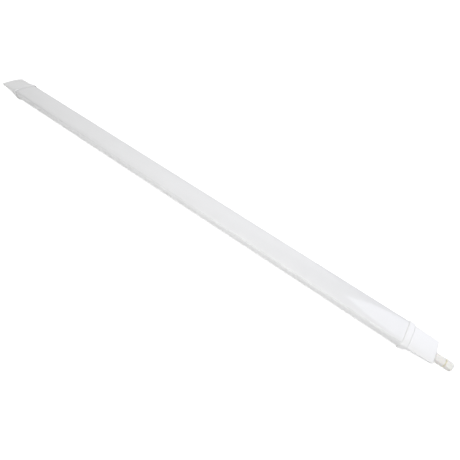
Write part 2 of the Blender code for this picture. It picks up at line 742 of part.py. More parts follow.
def led_boards():
    """Two boards end to end, each with a row of light packages soldered along its middle."""
    for number, start in enumerate(board_starts(), 1):
        board = box(
            f"led_board_{number}", (start, -BOARD_HALF_WIDTH, BOARD_BOTTOM),
            (start + BOARD_LENGTH, BOARD_HALF_WIDTH, BOARD_TOP), BOARD,
        )
        pitch = BOARD_LENGTH / PACKAGE_COUNT
        sunk = BOARD_THICKNESS / 2
        size = Matrix.Diagonal((PACKAGE_LENGTH, PACKAGE_WIDTH, PACKAGE_HEIGHT + sunk, 1))
        bm = bmesh.new()
        for i in range(PACKAGE_COUNT):
            centre = (start + pitch * (i + 0.5), 0, BOARD_TOP + (PACKAGE_HEIGHT - sunk) / 2)
            bmesh.ops.create_cube(bm, size=1, matrix=Matrix.Translation(centre) @ size)
        combine(board, mesh_object(f"packages_{number}", bm), "UNION")
        for i, (x, y) in enumerate(board_screw_places()):
            if start < x < start + BOARD_LENGTH:
                low, high = BOARD_BOTTOM - OVERRUN, BOARD_TOP + OVERRUN
                hole = standing(f"board_hole_{i}", SMALL_SCREW_RADIUS + GAP, x, y, low, high)
                combine(board, hole, "DIFFERENCE")
    for number, (x, y) in enumerate(board_screw_places(), 1):
        length = BOARD_TOP + GAP - TRAY_BOTTOM
        screw(
            f"board_screw_{number}", SMALL_SCREW_RADIUS, SMALL_HEAD_RADIUS, SMALL_HEAD_HEIGHT, length,
            (x, y, TRAY_BOTTOM), (0, 0, 1), STEEL,
        )
    link_bottom = BOARD_TOP + GAP
    box(
        "board_link", (-LINK_LENGTH / 2, -LINK_HALF_WIDTH, link_bottom),
        (LINK_LENGTH / 2, LINK_HALF_WIDTH, link_bottom + LINK_HEIGHT), WHITE, BUTTON_ROUND,
    )


def driver():
    """The driver: a lid screwed under the tray, a case below it, and a board with its two largest parts."""
    lid = box(
        "driver_lid", (DRIVER_START - DRIVER_EAR, -DRIVER_HALF_WIDTH, LID_BOTTOM),
        (DRIVER_END + DRIVER_EAR, DRIVER_HALF_WIDTH, LID_TOP), DRIVER_WHITE,
    )
    for number, x in enumerate(driver_screw_places(), 1):
        hole = standing(
            f"lid_hole_{number}", SMALL_SCREW_RADIUS + GAP, x, 0, LID_BOTTOM - OVERRUN, LID_TOP + OVERRUN,
        )
        combine(lid, hole, "DIFFERENCE")
        screw(
            f"driver_screw_{number}", SMALL_SCREW_RADIUS, SMALL_HEAD_RADIUS, SMALL_HEAD_HEIGHT,
            TRAY_TOP - LID_BOTTOM + GAP, (x, 0, TRAY_TOP), (0, 0, -1), STEEL,
        )
    case = box(
        "driver_case", (DRIVER_START, -DRIVER_HALF_WIDTH, CASE_BOTTOM),
        (DRIVER_END, DRIVER_HALF_WIDTH, CASE_TOP), DRIVER_WHITE,
    )
    inside = DRIVER_HALF_WIDTH - DRIVER_WALL
    hollow = box(
        "driver_case_hollow", (DRIVER_START + DRIVER_WALL, -inside, CASE_BOTTOM + DRIVER_WALL),
        (DRIVER_END - DRIVER_WALL, inside, CASE_TOP + OVERRUN),
    )
    combine(case, hollow, "DIFFERENCE")
    for end_name, x in (("in", DRIVER_END), ("out", DRIVER_START)):
        for side in (1, -1):
            hole = lying(
                f"case_hole_{end_name}_{side}", LEAD_RADIUS + GAP, DRIVER_LEAD_SPREAD * side, lead_height(),
                x - OVERRUN, x + OVERRUN,
            )
            combine(case, hole, "DIFFERENCE")
    board_half = inside - GAP
    box(
        "driver_board", (DRIVER_START + DRIVER_WALL + GAP, -board_half, DRIVER_BOARD_BOTTOM),
        (DRIVER_END - DRIVER_WALL - GAP, board_half, DRIVER_BOARD_TOP), GREEN_BOARD,
    )
    seat = DRIVER_BOARD_TOP + GAP
    middle = (DRIVER_START + DRIVER_END) / 2
    core = box(
        "driver_transformer", (middle - CORE_LENGTH / 2, -CORE_HALF_WIDTH, seat),
        (middle + CORE_LENGTH / 2, CORE_HALF_WIDTH, seat + CORE_HEIGHT), FERRITE, DRIVER_ROUND,
    )
    for side in (1, -1):
        reach = WINDING_LENGTH / 2
        inner = CORE_HALF_WIDTH * side * 3 / 4
        window = box(
            f"core_window_{side}", (middle - reach, inner, seat + CORE_HEIGHT * 3 / 4),
            (middle + reach, (CORE_HALF_WIDTH + OVERRUN) * side, seat + CORE_HEIGHT + OVERRUN),
        )
        combine(core, window, "DIFFERENCE")
    start = middle - PART_SPACING
    rounding = CAPACITOR_RADIUS / 6
    turned(
        "driver_capacitor",
        [(0, 0), (CAPACITOR_RADIUS - rounding, 0), (CAPACITOR_RADIUS, rounding),
         (CAPACITOR_RADIUS, CAPACITOR_LENGTH - rounding), (CAPACITOR_RADIUS - rounding, CAPACITOR_LENGTH),
         (0, CAPACITOR_LENGTH)],
        start, seat + CAPACITOR_RADIUS, 0.0, SMALL_SIDES, SLEEVE,
    )


def lead_height():
    """The height of the leads at the driver's ends, above its board."""
    return CASE_TOP - DRIVER_WALL - LEAD_RADIUS - GAP * 2


def pole_places():
    """The middle of each pole across the terminal block."""
    return [(i - (POLE_COUNT - 1) / 2) * POLE_PITCH for i in range(POLE_COUNT)]


def terminal_block():
    """A push-in block under the tray's tongue: wire entries at both sides, a button over each outer one."""
    block = box(
        "terminal_block", (BLOCK_START, -BLOCK_HALF_WIDTH, BLOCK_BOTTOM),
        (BLOCK_END, BLOCK_HALF_WIDTH, BLOCK_TOP), GREY_BLOCK, BLOCK_ROUND,
    )
    pocket_depth = BUTTON_LENGTH - BUTTON_PROUD + BUTTON_TRAVEL + GAP
    button_end = BLOCK_END + BUTTON_PROUD
    for number, y in enumerate(pole_places(), 1):
        for side_name, low, high in (
            ("supply", BLOCK_END - ENTRY_DEPTH, BLOCK_END + OVERRUN),
            ("inside", BLOCK_START - OVERRUN, BLOCK_START + ENTRY_DEPTH),
        ):
            hole = lying(f"entry_{side_name}_{number}", ENTRY_RADIUS, y, ENTRY_HEIGHT, low, high)
            combine(block, hole, "DIFFERENCE")
        half = BUTTON_WIDTH / 2
        tall = BUTTON_HEIGHT / 2
        pocket = box(
            f"button_pocket_{number}", (BLOCK_END - pocket_depth, y - half - GAP, BUTTON_CENTRE - tall - GAP),
            (BLOCK_END + OVERRUN, y + half + GAP, BUTTON_CENTRE + tall + GAP),
        )
        combine(block, pocket, "DIFFERENCE")
        box(
            f"release_button_{number}", (button_end - BUTTON_LENGTH, y - half, BUTTON_CENTRE - tall),
            (button_end, y + half, BUTTON_CENTRE + tall), ORANGE, BUTTON_ROUND,
        )
    hole = standing(
        "terminal_screw_hole", SMALL_SCREW_RADIUS + GAP, TERMINAL_SCREW_X, 0,
        BLOCK_TOP - BLOCK_HEIGHT / 2 - GAP * 2, BLOCK_TOP + OVERRUN,
    )
    combine(block, hole, "DIFFERENCE")
    seat = TRAY_TOP + GAP
    screw(
        "terminal_screw", SMALL_SCREW_RADIUS, SMALL_HEAD_RADIUS, SMALL_HEAD_HEIGHT, TERMINAL_SCREW_LENGTH,
        (TERMINAL_SCREW_X, 0, seat - TERMINAL_SCREW_LENGTH), (0, 0, 1), STEEL,
    )


def wiring():
    """The leads from the terminal block to the driver and the tray, and from the driver to the boards."""
    poles = pole_places()
    entry = BLOCK_START + LEAD_REACH
    drive = DRIVER_END - LEAD_REACH
    run = LEAD_RUN
    for name, pole, y, colour in (
        ("lead_live", poles[2], DRIVER_LEAD_SPREAD, BROWN_LEAD),
        ("lead_neutral", poles[1], -DRIVER_LEAD_SPREAD, BLUE_LEAD),
    ):
        sag = (ENTRY_HEIGHT + lead_height()) / 2 - LEAD_RADIUS
        lead(name, [
            (entry, pole, ENTRY_HEIGHT), (BLOCK_START - run, pole, ENTRY_HEIGHT),
            ((BLOCK_START * 2 + DRIVER_END) / 3, (pole * 2 + y) / 3, ENTRY_HEIGHT - LEAD_RADIUS),
            ((BLOCK_START + DRIVER_END * 2) / 3, (pole + y * 2) / 3, sag),
            (DRIVER_END + run, y, lead_height()), (drive, y, lead_height()),
        ], colour)
    tag_top = TRAY_BOTTOM - GAP
    tag_bottom = tag_top - TAG_THICKNESS
    tail_end = EARTH_X + TAG_RADIUS + TAG_TAIL
    tag = standing("earth_tag", TAG_RADIUS, EARTH_X, poles[0], tag_bottom, tag_top, made_of=TINNED)
    tail = box(
        "earth_tag_tail", (EARTH_X, poles[0] - TAG_RADIUS / 3, tag_bottom + TAG_THICKNESS / 8),
        (tail_end, poles[0] + TAG_RADIUS / 3, tag_top - TAG_THICKNESS / 8),
    )
    hole = standing(
        "earth_tag_hole", SMALL_SCREW_RADIUS + GAP, EARTH_X, poles[0],
        tag_bottom - OVERRUN, tag_top + OVERRUN,
    )
    combine(tag, tail, "UNION")
    combine(tag, hole, "DIFFERENCE")
    screw(
        "earth_screw", SMALL_SCREW_RADIUS, SMALL_HEAD_RADIUS, SMALL_HEAD_HEIGHT, TRAY_TOP - tag_bottom + GAP,
        (EARTH_X, poles[0], TRAY_TOP), (0, 0, -1), STEEL,
    )
    below_tag = tag_bottom - GAP - LEAD_RADIUS
    lead("lead_earth", [
        (entry, poles[0], ENTRY_HEIGHT), (BLOCK_START - run / 2, poles[0], ENTRY_HEIGHT),
        ((BLOCK_START + tail_end) / 2, poles[0], (ENTRY_HEIGHT + below_tag) / 2),
        (tail_end, poles[0], below_tag), (tail_end - TAG_TAIL / 2, poles[0], below_tag),
    ], EARTH_LEAD)
    on_board = BOARD_TOP + GAP + LEAD_RADIUS
    rise = SLOT_CENTRE - LEAD_RADIUS
    for name, y, x, colour in (
        ("lead_led_plus", DRIVER_LEAD_SPREAD, SLOT_X + LED_LEAD_SPACING / 2, RED_LEAD),
        ("lead_led_minus", -DRIVER_LEAD_SPREAD, SLOT_X - LED_LEAD_SPACING / 2, BLACK_LEAD),
    ):
        lead(name, [
            (DRIVER_START + LEAD_REACH, y, lead_height()), (DRIVER_START - run / 2, y, lead_height()),
            (DRIVER_START - DRIVER_EAR, y, lead_height() - LEAD_RADIUS * 2),
            (x + run / 2, (y + rise) / 2, lead_height() - LEAD_RADIUS),
            (x, rise, TRAY_BOTTOM), (x, rise, TRAY_TOP + LEAD_RADIUS),
            (x, BOARD_HALF_WIDTH, on_board + LEAD_RADIUS / 2),
            (x, BOARD_HALF_WIDTH - LEAD_REACH, on_board),
        ], colour)


def hexagon(name, across, low, high, chamfer, made_of, turn_degrees=HEX_TURN_DEGREES):
    """A hexagon rod along X with its corners turned off at both ends."""
    corner = across / math.sqrt(3)
    turn = math.radians(turn_degrees)
    body = rod(name, corner, (low, 0, GLAND_HEIGHT), (high, 0, GLAND_HEIGHT), 6, made_of, turn)
    length = high - low
    past = across - corner - GAP * 3
    outside = turned(
        name + "_chamfer",
        [(0, -chamfer), (past, -chamfer), (corner + GAP, chamfer), (corner + GAP, length - chamfer),
         (past, length + chamfer), (0, length + chamfer)],
        low,
    )
    return combine(body, outside, "INTERSECT")


def cable_gland():
    """The gland: washer, long body with threaded shank and clawed neck, locknut, ring, seal and dome nut."""
    thread = THREAD_RADIUS + THREAD_CLEARANCE
    washer = tube_profile(WASHER_RADIUS, thread, WASHER_THICKNESS)
    turned("gland_washer", washer, WASHER_START, made_of=RUBBER)
    body = hexagon("gland_body", HEX_ACROSS, HEX_START, HEX_END, HEX_CHAMFER, NYLON)
    shank_start = HEX_START - SHANK_LENGTH
    stem_length = SHANK_LENGTH + HEX_LENGTH + NECK_LENGTH
    stem = turned(
        "gland_stem",
        [(0, 0), (THREAD_RADIUS - THREAD_CHAMFER, 0), (THREAD_RADIUS, THREAD_CHAMFER),
         (THREAD_RADIUS, stem_length - THREAD_CHAMFER), (THREAD_RADIUS - THREAD_CHAMFER, stem_length),
         (0, stem_length)],
        shank_start,
    )
    seat = SEAL_START - GAP - shank_start
    bore = turned(
        "gland_bore",
        [(0, -OVERRUN), (GLAND_BORE, -OVERRUN), (GLAND_BORE, seat), (SEAL_SEAT_RADIUS, seat),
         (SEAL_SEAT_RADIUS, stem_length + OVERRUN), (0, stem_length + OVERRUN)],
        shank_start,
    )
    combine(body, stem, "UNION")
    combine(body, bore, "DIFFERENCE")
    reach = THREAD_RADIUS + OVERRUN
    for i in range(CLAW_PAIRS):
        slit = box(
            f"claw_slit_{i}", (NECK_END - CLAW_LENGTH, -reach, GLAND_HEIGHT - CLAW_SLIT / 2),
            (NECK_END + OVERRUN, reach, GLAND_HEIGHT + CLAW_SLIT / 2),
        )
        slit.rotation_euler = (math.pi * i / CLAW_PAIRS + math.radians(CLAW_TURN_DEGREES), 0, 0)
        combine(body, slit, "DIFFERENCE")
    locknut_end = LOCKNUT_START + LOCKNUT_THICKNESS
    locknut = hexagon(
        "gland_locknut", LOCKNUT_ACROSS, LOCKNUT_START, locknut_end, HEX_CHAMFER, NYLON, LOCKNUT_TURN_DEGREES,
    )
    locknut_bore = lying(
        "locknut_bore", thread, 0, GLAND_HEIGHT, LOCKNUT_START - OVERRUN, locknut_end + OVERRUN, ROUND_SIDES,
    )
    combine(locknut, locknut_bore, "DIFFERENCE")
    turned("gland_ring", tube_profile(RING_RADIUS, thread, RING_THICKNESS), RING_START, made_of=CREAM)
    seal = tube_profile(SEAL_SEAT_RADIUS - GAP, SEAL_BORE, SEAL_LENGTH)
    turned("gland_seal", seal, SEAL_START, made_of=BLACK_RUBBER)
    turned("slip_ring", tube_profile(SLIP_RADIUS, SLIP_BORE, SLIP_THICKNESS), SLIP_START, made_of=NYLON)
    corner = HEX_ACROSS / math.sqrt(3)
    nut = rod(
        "dome_nut", corner, (NUT_START, 0, GLAND_HEIGHT), (NUT_END, 0, GLAND_HEIGHT), 6, NYLON,
        math.radians(HEX_TURN_DEGREES),
    )
    steps = ROUNDING_STEPS * 2
    dome_length = NUT_LENGTH + GAP - NUT_HEX_LENGTH
    shape = [(0, -HEX_CHAMFER), (HEX_ACROSS - corner - GAP * 3, -HEX_CHAMFER), (corner + GAP, HEX_CHAMFER)]
    for i in range(steps + 1):
        angle = math.pi / 2 * i / steps
        radius = NUT_FRONT_RADIUS + (corner + GAP - NUT_FRONT_RADIUS) * math.cos(angle)
        shape.append((radius, NUT_HEX_LENGTH + dome_length * math.sin(angle)))
    shape.append((0, NUT_LENGTH + GAP))
    combine(nut, turned("nut_outside", shape, NUT_START), "INTERSECT")
    cavity = NUT_CAVITY_END - NUT_START
    inside = turned(
        "nut_inside",
        [(0, -OVERRUN), (thread, -OVERRUN), (thread, cavity), (NUT_MOUTH, cavity),
         (NUT_MOUTH, NUT_LENGTH + OVERRUN), (0, NUT_LENGTH + OVERRUN)],
        NUT_START,
    )
    combine(nut, inside, "DIFFERENCE")


def gland_hole(shell):
    """The hole for the gland's shank in the end wall of the entry cap, and a pocket in the cap's floor under
    the locknut. The pocket only bites where a lower gland or a wider locknut brings the two together."""
    hole = lying(
        "gland_hole", THREAD_RADIUS + THREAD_CLEARANCE, 0, GLAND_HEIGHT,
        CAP_END - CAP_END_WALL - OVERRUN, CAP_END + OVERRUN, ROUND_SIDES,
    )
    combine(shell, hole, "DIFFERENCE")
    pocket = rod(
        "locknut_pocket", LOCKNUT_ACROSS / math.sqrt(3) + LOCKNUT_CLEARANCE,
        (LOCKNUT_START - LOCKNUT_CLEARANCE, 0, GLAND_HEIGHT),
        (LOCKNUT_START + LOCKNUT_THICKNESS + LOCKNUT_CLEARANCE, 0, GLAND_HEIGHT),
        6, None, math.radians(LOCKNUT_TURN_DEGREES),
    )
    return combine(shell, pocket, "DIFFERENCE")


def main():
    housing_base()
    diffuser()
    for name, sign in (("entry", 1), ("far", -1)):
        collar(f"{name}_collar", sign)
        gasket(f"{name}_gasket", sign)
    gland_hole(cap("entry_cap", 1))
    cap("far_cap", -1)
    gear_tray()
    led_boards()
    driver()
    terminal_block()
    wiring()
    cable_gland()


main()
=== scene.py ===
# %% [markdown]
# A slim weatherproof batten light, lying on its back with the milky cover up.
# The packed solids give every size and place. They could be shown as they are, but they are faceted and
# their edges are knife sharp. So this lesson loads them as a fixed frame, dresses the pieces that show in
# finely worked surfaces, gives every piece a finish, and adds a camera, a floor and soft lamps.

# %% Load the packed solids
import json
import math

import bmesh
import bpy
import numpy as np
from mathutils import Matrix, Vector


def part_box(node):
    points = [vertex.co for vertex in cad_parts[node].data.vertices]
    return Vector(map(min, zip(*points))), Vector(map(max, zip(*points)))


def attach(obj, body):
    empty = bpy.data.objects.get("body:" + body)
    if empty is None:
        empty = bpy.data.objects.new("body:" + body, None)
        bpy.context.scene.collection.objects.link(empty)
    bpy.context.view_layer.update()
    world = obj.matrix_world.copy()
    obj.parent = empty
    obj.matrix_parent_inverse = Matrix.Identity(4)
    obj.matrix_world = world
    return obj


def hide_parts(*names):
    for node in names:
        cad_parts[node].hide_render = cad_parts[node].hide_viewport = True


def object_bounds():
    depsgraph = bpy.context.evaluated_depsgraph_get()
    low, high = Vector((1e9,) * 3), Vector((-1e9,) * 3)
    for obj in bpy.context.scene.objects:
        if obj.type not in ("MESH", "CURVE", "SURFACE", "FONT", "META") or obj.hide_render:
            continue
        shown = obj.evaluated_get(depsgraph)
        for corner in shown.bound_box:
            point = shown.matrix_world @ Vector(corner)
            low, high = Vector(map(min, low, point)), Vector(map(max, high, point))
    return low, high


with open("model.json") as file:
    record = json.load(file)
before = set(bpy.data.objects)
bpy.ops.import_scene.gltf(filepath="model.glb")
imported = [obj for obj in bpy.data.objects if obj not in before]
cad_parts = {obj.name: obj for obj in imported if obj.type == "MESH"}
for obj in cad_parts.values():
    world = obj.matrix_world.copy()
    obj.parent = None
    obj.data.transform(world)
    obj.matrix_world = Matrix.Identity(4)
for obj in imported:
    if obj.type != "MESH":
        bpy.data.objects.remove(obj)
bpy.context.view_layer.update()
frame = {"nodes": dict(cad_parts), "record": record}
print("packed nodes:", len(frame["nodes"]))

# %% [markdown]
# Blender measures in metres, while moulds and extrusions are drawn in millimetres, so one value turns one
# into the other. Colours are picked as sRGB hex numbers, the way a screen shows them, but Blender mixes
# light and wants them linear. Each could be converted by hand, but a function does it the same way
# everywhere.

# %% Units and colours
MM = 0.001
SRGB_KNEE = 0.04045
SRGB_SLOPE = 12.92
SRGB_OFFSET = 0.055
SRGB_POWER = 2.4


def linear(hex_colour):
    """Turn an sRGB hex colour such as "#F2F3F4" into linear red, green, blue and an alpha of 1: value /
    slope up to the knee, and ((value + offset) / (1 + offset)) ^ power above it."""
    srgb = np.array([int(hex_colour[i:i + 2], 16) for i in (1, 3, 5)]) / 255
    low = srgb / SRGB_SLOPE
    high = ((srgb + SRGB_OFFSET) / (1 + SRGB_OFFSET)) ** SRGB_POWER
    return (*np.where(srgb <= SRGB_KNEE, low, high), 1.0)


print("middle grey on screen is linear", round(float(linear("#808080")[0]), 3))

# %% [markdown]
# The camera stands above the side of the light and near its cable end, and looks down along it. From far
# away with a long lens both ends would look equally wide. Close by, a plain lens gives the strong
# perspective: the far end is over one and a half times as far away as the near one. The field of view is
# the angle that a square picture of 460 by 460 points spans at that focal length.

# %% Camera
PICTURE_SIDE = 460
FOCAL_POINTS = 373.04
SENSOR = 36.0
CAMERA_PLACE = (398.57 * MM, -537.00 * MM, 548.79 * MM)
# Turned about X, then Y, then Z, in radians.
CAMERA_TURN = (0.80113, -0.19812, 0.61879)

camera_data = bpy.data.cameras.new("camera")
camera_data.sensor_width = SENSOR
camera_data.sensor_height = SENSOR
camera_data.lens = FOCAL_POINTS / PICTURE_SIDE * SENSOR
camera = bpy.data.objects.new("camera", camera_data)
camera.location = CAMERA_PLACE
camera.rotation_euler = CAMERA_TURN
bpy.context.scene.collection.objects.link(camera)
bpy.context.scene.camera = camera
print("lens:", round(camera_data.lens, 2), "mm")

# %% [markdown]
# A finish is a small network of nodes. Writing out every node, value and link takes many lines that all
# look alike. This helper adds one node, sets its values by name and links its inputs, which keeps each
# network readable as a list of steps.

# %% One helper for nodes


def add(tree, kind, settings=(), links=()):
    """Add one node, set its inputs or properties, and link its inputs from other sockets."""
    node = tree.nodes.new(kind)
    for name, value in dict(settings).items():
        if isinstance(name, int) or name in node.inputs:
            node.inputs[name].default_value = value
        else:
            setattr(node, name, value)
    for name, socket in dict(links).items():
        tree.links.new(socket, node.inputs[name])
    return node


print("add:", add.__doc__)

# %% [markdown]
# Almost every piece here is a plastic. Each could have a network of its own, but plastics share one make-up,
# so one function lays it down: a base colour that drifts very slightly, a gloss that drifts with it, and a
# fine relief from how the piece was made. An extruded piece has faint lines along its length from the die,
# which are noise stretched along X. A moulded piece has the even grain of its mould. Real mould grain is
# near 0.1 mm, too fine to show from here, so it is drawn at three to eight times that.

# %% What plastics share
CLOUD_SIZE = 40.0
CLOUD_DETAIL = 3.0
CLOUD_LOW = 0.3
CLOUD_HIGH = 0.7
GRAIN_DETAIL = 2.0


def plastic(name, colour, second, *, roughness, drift, grain, relief, stretch=1.0, **sockets):
    """A plastic: colour drifts to second over tens of millimetres, roughness drifts by drift, and noise
    of a given grain (mm), stretched along X by stretch, gives a bump of a given relief (mm)."""
    made = bpy.data.materials.new(name)
    made.use_nodes = True
    tree = made.node_tree
    shader = tree.nodes["Principled BSDF"]
    for socket, value in sockets.items():
        shader.inputs[socket.replace("_", " ")].default_value = value
    place = add(tree, "ShaderNodeTexCoord").outputs["Object"]
    cloud = add(
        tree, "ShaderNodeTexNoise", {"Scale": 1 / (CLOUD_SIZE * MM), "Detail": CLOUD_DETAIL},
        {"Vector": place},
    )
    tint = add(
        tree, "ShaderNodeMix",
        {"data_type": "RGBA", 6: linear(colour), 7: linear(second)}, {0: cloud.outputs["Fac"]},
    )
    gloss = add(
        tree, "ShaderNodeMapRange", {
            "From Min": CLOUD_LOW, "From Max": CLOUD_HIGH,
            "To Min": roughness - drift, "To Max": roughness + drift,
        }, {"Value": cloud.outputs["Fac"]},
    )
    scale = 1 / (grain * MM)
    drawn = add(tree, "ShaderNodeMapping", {"Scale": (scale / stretch, scale, scale)}, {"Vector": place})
    fine = add(
        tree, "ShaderNodeTexNoise", {"Scale": 1.0, "Detail": GRAIN_DETAIL},
        {"Vector": drawn.outputs["Vector"]},
    )
    bump = add(
        tree, "ShaderNodeBump", {"Strength": 1.0, "Distance": relief * MM}, {"Height": fine.outputs["Fac"]},
    )
    tree.links.new(tint.outputs[2], shader.inputs["Base Color"])
    tree.links.new(gloss.outputs["Result"], shader.inputs["Roughness"])
    tree.links.new(bump.outputs["Normal"], shader.inputs["Normal"])
    return made


print("colours drift over", CLOUD_SIZE, "mm")

# %% [markdown]
# The outside of the light is white and milky polycarbonate, and its gland is nylon with soft rings. All
# could be the same flat white, but each answers light in its own way, and that is what tells them apart.
# Light soaks into the milky cover and the nylon, so those two have subsurface scattering as well.

# %% Plastics and rubbers of the outside
finishes = {}
# Polycarbonate that is white all through, from a polished die or mould. It scatters light back as plain
# white, and its half gloss shows each lamp as a wide soft patch.
finishes["white_polycarbonate"] = plastic(
    "extruded_white_polycarbonate", "#F8F8F8", "#F6F6F5",
    roughness=0.32, drift=0.03, grain=0.5, relief=0.004, stretch=60.0, IOR=1.58,
)
# Polycarbonate with a fine white powder in it, extruded through a polished die. Light sinks in and comes
# back spread out, which looks milky, and the glossy face over it mirrors lamps with crisp edges.
finishes["opal_polycarbonate"] = plastic(
    "extruded_opal_polycarbonate", "#F2F2F2", "#F0F0F0",
    roughness=0.04, drift=0.01, grain=0.8, relief=0.001, stretch=80.0, IOR=1.58,
    Subsurface_Weight=0.35, Subsurface_Radius=(1.0, 1.0, 1.0), Subsurface_Scale=2.0 * MM,
)
# Undyed nylon, moulded. It is a warm white that lets some light in, which softens its shadows, and its
# satin face gives the edges of a hexagon broad, faint highlights.
finishes["natural_nylon"] = plastic(
    "moulded_natural_nylon", "#F7F5F1", "#F4F2EC",
    roughness=0.36, drift=0.04, grain=0.4, relief=0.006, IOR=1.53,
    Subsurface_Weight=0.25, Subsurface_Radius=(1.2, 1.0, 0.8), Subsurface_Scale=1.0 * MM,
)
# Silicone rubber, moulded and dyed. Its dull, slightly greasy face hardly mirrors anything, so its colour
# looks the same from every side.
finishes["cream_silicone"] = plastic(
    "moulded_cream_silicone", "#F4F0DA", "#F0EBD0",
    roughness=0.50, drift=0.04, grain=0.3, relief=0.004, IOR=1.42,
)
# The same silicone in grey. It is duller, because a gasket's mould is left rough.
finishes["grey_silicone"] = plastic(
    "moulded_grey_silicone", "#8C8E90", "#868889",
    roughness=0.62, drift=0.04, grain=0.3, relief=0.006, IOR=1.42,
)
# Nitrile rubber, moulded. It is almost black and dull, and only its edges catch light.
finishes["black_rubber"] = plastic(
    "moulded_black_rubber", "#1E1E1E", "#232323",
    roughness=0.66, drift=0.05, grain=0.3, relief=0.008, IOR=1.50,
)
print("finishes of the outside:", sorted(finishes))

# %% [markdown]
# A surface is a grid of points: one number runs along it, the other round it. Faces could be made one at
# a time, but whole arrays are quick and keep each shape a formula. The first helper turns such a grid into
# a mesh. It can join the last row to the first, as on a ring, or close both ends with a flat face, as on
# a bar. The second finishes a piece. A piece stays at the origin, with its place in its mesh.

# %% From a grid of points to a piece
SHARP_DEGREES = 32
ROOT = "light"


def skin(name, grid, ring=False):
    """Make a mesh of a grid of points, rows along and columns round. Columns close on themselves. With
    ring, the last row joins the first. Otherwise the first and last rows are closed by a face each."""
    rows, columns = grid.shape[:2]
    index = np.arange(rows * columns).reshape(rows, columns)
    below = index if ring else index[:-1]
    above = np.roll(index, -1, 0) if ring else index[1:]
    quads = np.stack([below, np.roll(below, -1, 1), np.roll(above, -1, 1), above], -1).reshape(-1, 4)
    faces = quads.tolist()
    if not ring:
        faces += [index[0][::-1].tolist(), index[-1].tolist()]
    mesh = bpy.data.meshes.new(name)
    mesh.from_pydata(grid.reshape(-1, 3).tolist(), [], faces)
    shaped = bmesh.new()
    shaped.from_mesh(mesh)
    bmesh.ops.recalc_face_normals(shaped, faces=shaped.faces)
    shaped.to_mesh(mesh)
    shaped.free()
    piece = bpy.data.objects.new(name, mesh)
    bpy.context.scene.collection.objects.link(piece)
    return piece


def dress(piece, finish, body, *replaced):
    """Give a piece its finish and smooth shading, let it ride on its body, and hide what it replaces."""
    piece.data.materials.clear()
    piece.data.materials.append(finishes[finish])
    piece.data.shade_smooth()
    piece.data.set_sharp_from_angle(angle=math.radians(SHARP_DEGREES))
    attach(piece, body)
    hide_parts(*replaced)
    print(piece.name, "has", len(piece.data.polygons), "faces")
    return piece


print("edges over", SHARP_DEGREES, "degrees stay crisp")

# %% [markdown]
# The tube's section is a shallow dome on a hull that narrows to a flat back. Arcs and lines could draw it,
# but they would leave kinks where they meet. Here dome and sides are stretched superellipses with a power
# each, so they meet upright at the widest place. Points are then spread evenly along the outline, so that
# every facet has the same width.

# %% The section
WIDEST = 22.5 * MM
BACK_HALF = 15.9 * MM
DOME_POWER = 2.36
SIDE_POWER = 1.64
DENSE = 1200
# A point (y, z) times this lies on the other side of the light.
OTHER_SIDE = (-1, 1)
tube_low, tube_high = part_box("housing_base")
crown_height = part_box("diffuser")[1].z
tube_shape = np.array([
    tube_high.y, WIDEST, crown_height, BACK_HALF, tube_low.z, DOME_POWER, SIDE_POWER,
])


def outline(shape, count):
    """Even points (y, z) round a section, from the crown over +Y to the back and up the other side.
    Dome: y = half |cos a|^(2/p), z = widest + (crown - widest) |sin a|^(2/p).
    Side: y = back_half + (half - back_half) |cos b|^(2/q), z = widest - (widest - back) |sin b|^(2/q)."""
    half, widest, crown, back_half, back, dome, side = shape
    a = np.linspace(np.pi / 2, 0, DENSE)
    b = a[::-1]
    upper = np.stack([
        half * np.cos(a) ** (2 / dome),
        widest + (crown - widest) * np.sin(a) ** (2 / dome),
    ], 1)
    lower = np.stack([
        back_half + (half - back_half) * np.cos(b) ** (2 / side),
        widest - (widest - back) * np.sin(b) ** (2 / side),
    ], 1)
    right = np.concatenate([upper, lower[1:]])
    loop = np.concatenate([right, right[::-1] * OTHER_SIDE])
    step = np.r_[0, np.cumsum(np.linalg.norm(np.diff(loop, axis=0), axis=1))]
    even = np.linspace(0, step[-1], count, endpoint=False)
    return np.stack([np.interp(even, step, loop[:, i]) for i in (0, 1)], 1)


def grown(shape, by):
    """The same section larger all round by a distance, and the flat of its back by half of that to each
    side. A negative distance makes it smaller."""
    half, widest, crown, back_half, back, dome, side = shape
    return np.array([half + by, widest, crown + by, back_half + by / 2, back - by, dome, side])


print("tube:", np.round(tube_shape[:5] / MM, 2), "mm")

# %% [markdown]
# A straight piece is one outline carried along the light. Real edges are never knife sharp, and a Bevel
# modifier could round them, but it also rounds gentle bends. This helper works on the outline instead: it
# swaps every sharp corner for a short curve, so that each long edge can catch a thread of light.

# %% Straight pieces and softened corners
CORNER_STEPS = 5
CORNER_DEGREES = 25
EDGE = 0.25 * MM
SIDE_SHARE = 1 / 3


def standing(x, points):
    """Stand an outline of (y, z) points at a place along the light."""
    return np.column_stack([np.full(len(points), x), points])


def extruded(name, points, low, high):
    """Carry an outline of (y, z) points straight from x = low to x = high, with flat ends."""
    return skin(name, np.stack([standing(x, points) for x in (low, high)]))


